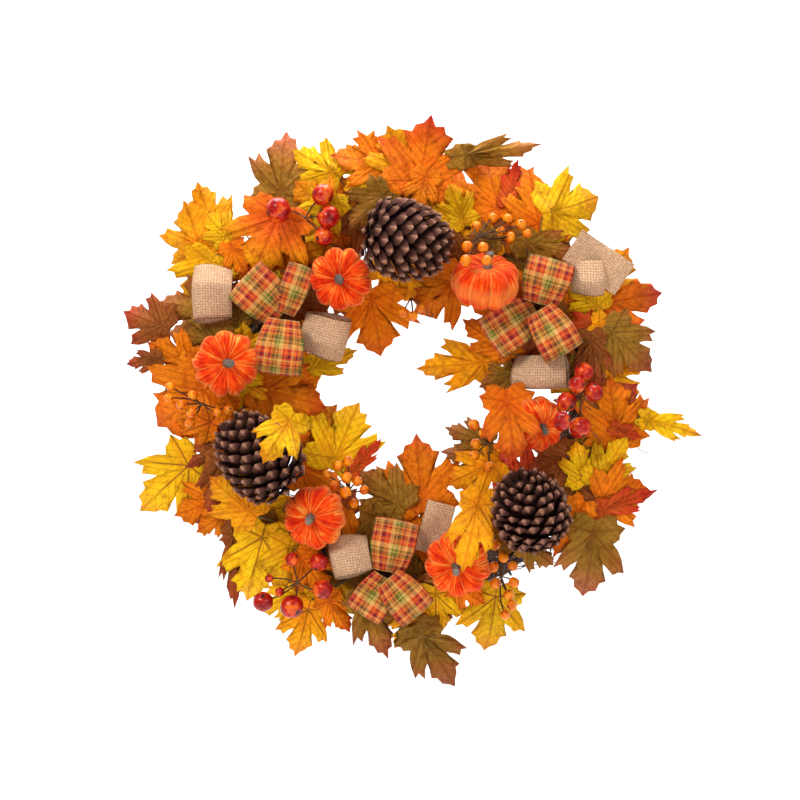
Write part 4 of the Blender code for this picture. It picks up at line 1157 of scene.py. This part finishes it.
def thread_ramp(finish, position):
    """The plaid's sett: the colour of the thread at this place across or along the ribbon."""
    share = (position / SETT).math("FRACT")
    red, green, cream = (0.64, 0.048, 0.012), (0.14, 0.16, 0.018), (0.68, 0.40, 0.10)
    plum, gold = (0.13, 0.009, 0.022), (0.72, 0.15, 0.02)
    return finish.node(
        "ValToRGB", "Color", Fac=share,
        stops=((0.0, green), (0.06, plum), (0.085, green), (0.14, cream), (0.165, green), (0.24, cream),
               (0.38, red), (0.47, gold), (0.52, red), (0.58, plum), (0.67, red), (0.72, cream),
               (0.78, gold), (0.88, plum), (0.93, gold)),
    )


def plaid_cloth():
    """Twill-woven cotton check: dyed warp and weft crossing on a slant."""
    weave = Finish("woven_plaid")
    uv = weave.node("UVMap", settings={"uv_map": "ribbon"})
    across = weave.node("SeparateXYZ", "X", Vector=uv)
    along = weave.node("SeparateXYZ", "Y", Vector=uv)
    warp = thread_ramp(weave, across + 0.5)
    weft = thread_ramp(weave, along + 0.5)
    for node in weave.tree.nodes:
        if node.bl_idname == "ShaderNodeValToRGB":
            node.color_ramp.interpolation = "CONSTANT"
    twill = ((across + along) / 0.0011).math("FRACT").math("GREATER_THAN", 0.5)
    threads = (across / 0.0006).math("PINGPONG", 0.5) + (along / 0.0006).math("PINGPONG", 0.5)
    colour = weave.mix(twill, warp, weft)
    slub = weave.ramp(weave.noise(220, detail=4), (0.3, (0.72, 0.70, 0.66)), (0.65, (1.05, 1.05, 1.05)))
    return weave.surface(
        Base_Color=weave.mix(1.0, colour, slub, "MULTIPLY"),
        Roughness=0.82,
        Specular_IOR_Level=0.15,
        Sheen_Weight=0.08,
        Normal=weave.bump(threads + twill * 0.3, 0.0003, 0.8),
    )


def burlap_cloth():
    """Plain-woven jute, open enough to show a gap between its threads, which is painted dark as shade."""
    jute = Finish("natural_burlap")
    uv = jute.node("UVMap", settings={"uv_map": "ribbon"})
    across = jute.node("SeparateXYZ", "X", Vector=uv)
    along = jute.node("SeparateXYZ", "Y", Vector=uv)
    drift = jute.noise(160) * 0.0007
    warp = ((across + drift) / JUTE_PITCH).math("PINGPONG", 0.5)
    weft = ((along - drift) / JUTE_PITCH).math("PINGPONG", 0.5)
    # Painted shade: the gaps between the threads are mixed towards dark brown, for the shade behind the
    # weave.
    painted_gap_shade = (warp * weft).math("GREATER_THAN", 0.11)
    slub = jute.noise(420, detail=6, rough=0.7)
    colour = jute.ramp(
        slub, (0.3, (0.38, 0.21, 0.12)), (0.5, (0.60, 0.36, 0.21)), (0.7, (0.78, 0.51, 0.32))
    )
    return jute.surface(
        Base_Color=jute.mix(painted_gap_shade * 0.66, colour, (0.17, 0.085, 0.040)),
        Roughness=0.95,
        Specular_IOR_Level=0.1,
        Normal=jute.bump(slub * 0.6 - warp - weft, 0.0009, 0.9),
    )


def ribbon_strip(length_steps, width_steps, route, flat_length, flat_width):
    """A strip of ribbon: route(share along, share across) gives its points, and a UV map its threads."""
    strip = bmesh.new()
    bmesh.ops.create_grid(strip, x_segments=length_steps, y_segments=width_steps, size=0.5)
    uv = strip.loops.layers.uv.new("ribbon")
    for face in strip.faces:
        for corner in face.loops:
            corner[uv].uv = (corner.vert.co.y * flat_width * MM, (corner.vert.co.x + 0.5) * flat_length * MM)
    for vert in strip.verts:
        vert.co = route(vert.co.x + 0.5, vert.co.y * 2)
    bmesh.ops.solidify(strip, geom=strip.faces[:], thickness=RIBBON_CLOTH)
    bmesh.ops.recalc_face_normals(strip, faces=strip.faces[:])
    return strip


def knot_to_end(name, x, z, heading, length):
    """The middle, heading and length of a loop that leaves its bow's tie and ends where its solid ends."""
    knot = Vector(BOW_TIES[int(name.split("_")[1]) - 1])
    lead = Vector((math.cos(math.radians(heading)), math.sin(math.radians(heading))))
    end = Vector((x, z)) + lead * (length / 2 + 2)
    start = knot + lead * 3 if "plaid" in name else end - lead * (length + 8)
    span = end - start
    return (start + end) / 2, math.degrees(math.atan2(span.y, span.x)), span.length


def loop_route(length, width, depth, pinch, crease):
    """A hairpin loop seen from its side: gathered at the tie, full at its outer end."""

    def route(share, across):
        turn = math.pi * (2 * share - 1) * 0.97
        forward = math.cos(turn)
        open_share = (1 + forward) / 2
        out = -length / 2 + length * open_share ** 0.9
        gather = pinch + (1 - pinch) * math.sin(math.pi / 2 * min(1.0, open_share * 1.7)) ** 0.8
        swell = 0.30 + 0.70 * min(1.0, open_share * 1.5) ** 0.8
        rise = math.sin(turn) * depth / 2 * swell
        rise += (1 - gather) * math.cos(across * 7) * 6.0
        rise += crease * (abs(across + 0.1) - 0.5) + 1.2 * math.sin(across * 2.2 + length) * open_share
        edge = 1.6 * across * across * open_share
        return Vector((out - edge * forward, rise, across * width / 2 * gather))

    return route


def tail_route(length, width):
    """A cut end of ribbon lying on the leaves, in a slow wave."""

    def route(share, across):
        wave = 3.0 * math.sin(share * 5.5) + 1.4 * math.sin(across * 3 + share * 4)
        return Vector(((share - 0.5) * length, wave - 2, across * width / 2))

    return route


plaid, burlap = plaid_cloth(), burlap_cloth()
for cloth, slot, loops in ((plaid, "plaid", PLAID_LOOPS), (burlap, "burlap", BURLAP_LOOPS)):
    for name, (x, z, heading, length, width, depth) in loops.items():
        width += SELVAGE
        middle, heading, length = knot_to_end(name, x, z, heading, length)
        flat_length = 2.0 * length + 0.8 * depth
        strip = ribbon_strip(56, 16, loop_route(length, width, depth, *GATHERS[slot]), flat_length, width)
        turn = Matrix.Rotation(-math.radians(heading), 4, "Y")
        y = sum(front_and_back(name)) / 2
        if slot == "burlap":
            turn = turn @ Matrix.Rotation(BURLAP_ROLL, 4, "X")
        else:
            y -= PLAID_STAGGER * (int(name[-1]) - 1)
        strip.transform(Matrix.Translation((middle.x, y, middle.y)) @ turn)
        piece = add_piece(name + "_ribbon", strip, cloth, name, slot)
        width * MM
        flat_length * MM
for name, (x, z, heading, length, width) in BURLAP_TAILS.items():
    strip = ribbon_strip(40, 20, tail_route(length, width), length, width)
    column, row = cells(x, z)
    nearby = slice(column - TAIL_CELLS, column + TAIL_CELLS), slice(row - TAIL_CELLS, row + TAIL_CELLS)
    y = grid_front[nearby].min() - TAIL_FORWARD
    strip.transform(Matrix.Translation((x, y, z)) @ Matrix.Rotation(-math.radians(heading), 4, "Y"))
    piece = add_piece(name + "_ribbon", strip, burlap, name, "burlap")
    width * MM
    length * MM
for number, (x, z) in enumerate(BOW_TIES):
    name = f"bow_{number + 1}_tie"
    front, back = front_and_back(name)
    points = []
    for step in range(TIE_STEPS):
        share = step / (TIE_STEPS - 1)
        turn = math.tau * TIE_TURNS * share
        y = back + (front - back) * share
        points.append((x + TIE_RADIUS * math.cos(turn), y, z + TIE_RADIUS * math.sin(turn)))
    tie = wires([(points, [TIE_WIRE] * TIE_STEPS, False)], 8)
    add_piece(name + "_wire", tie, wrapped_wire, name, "steel")
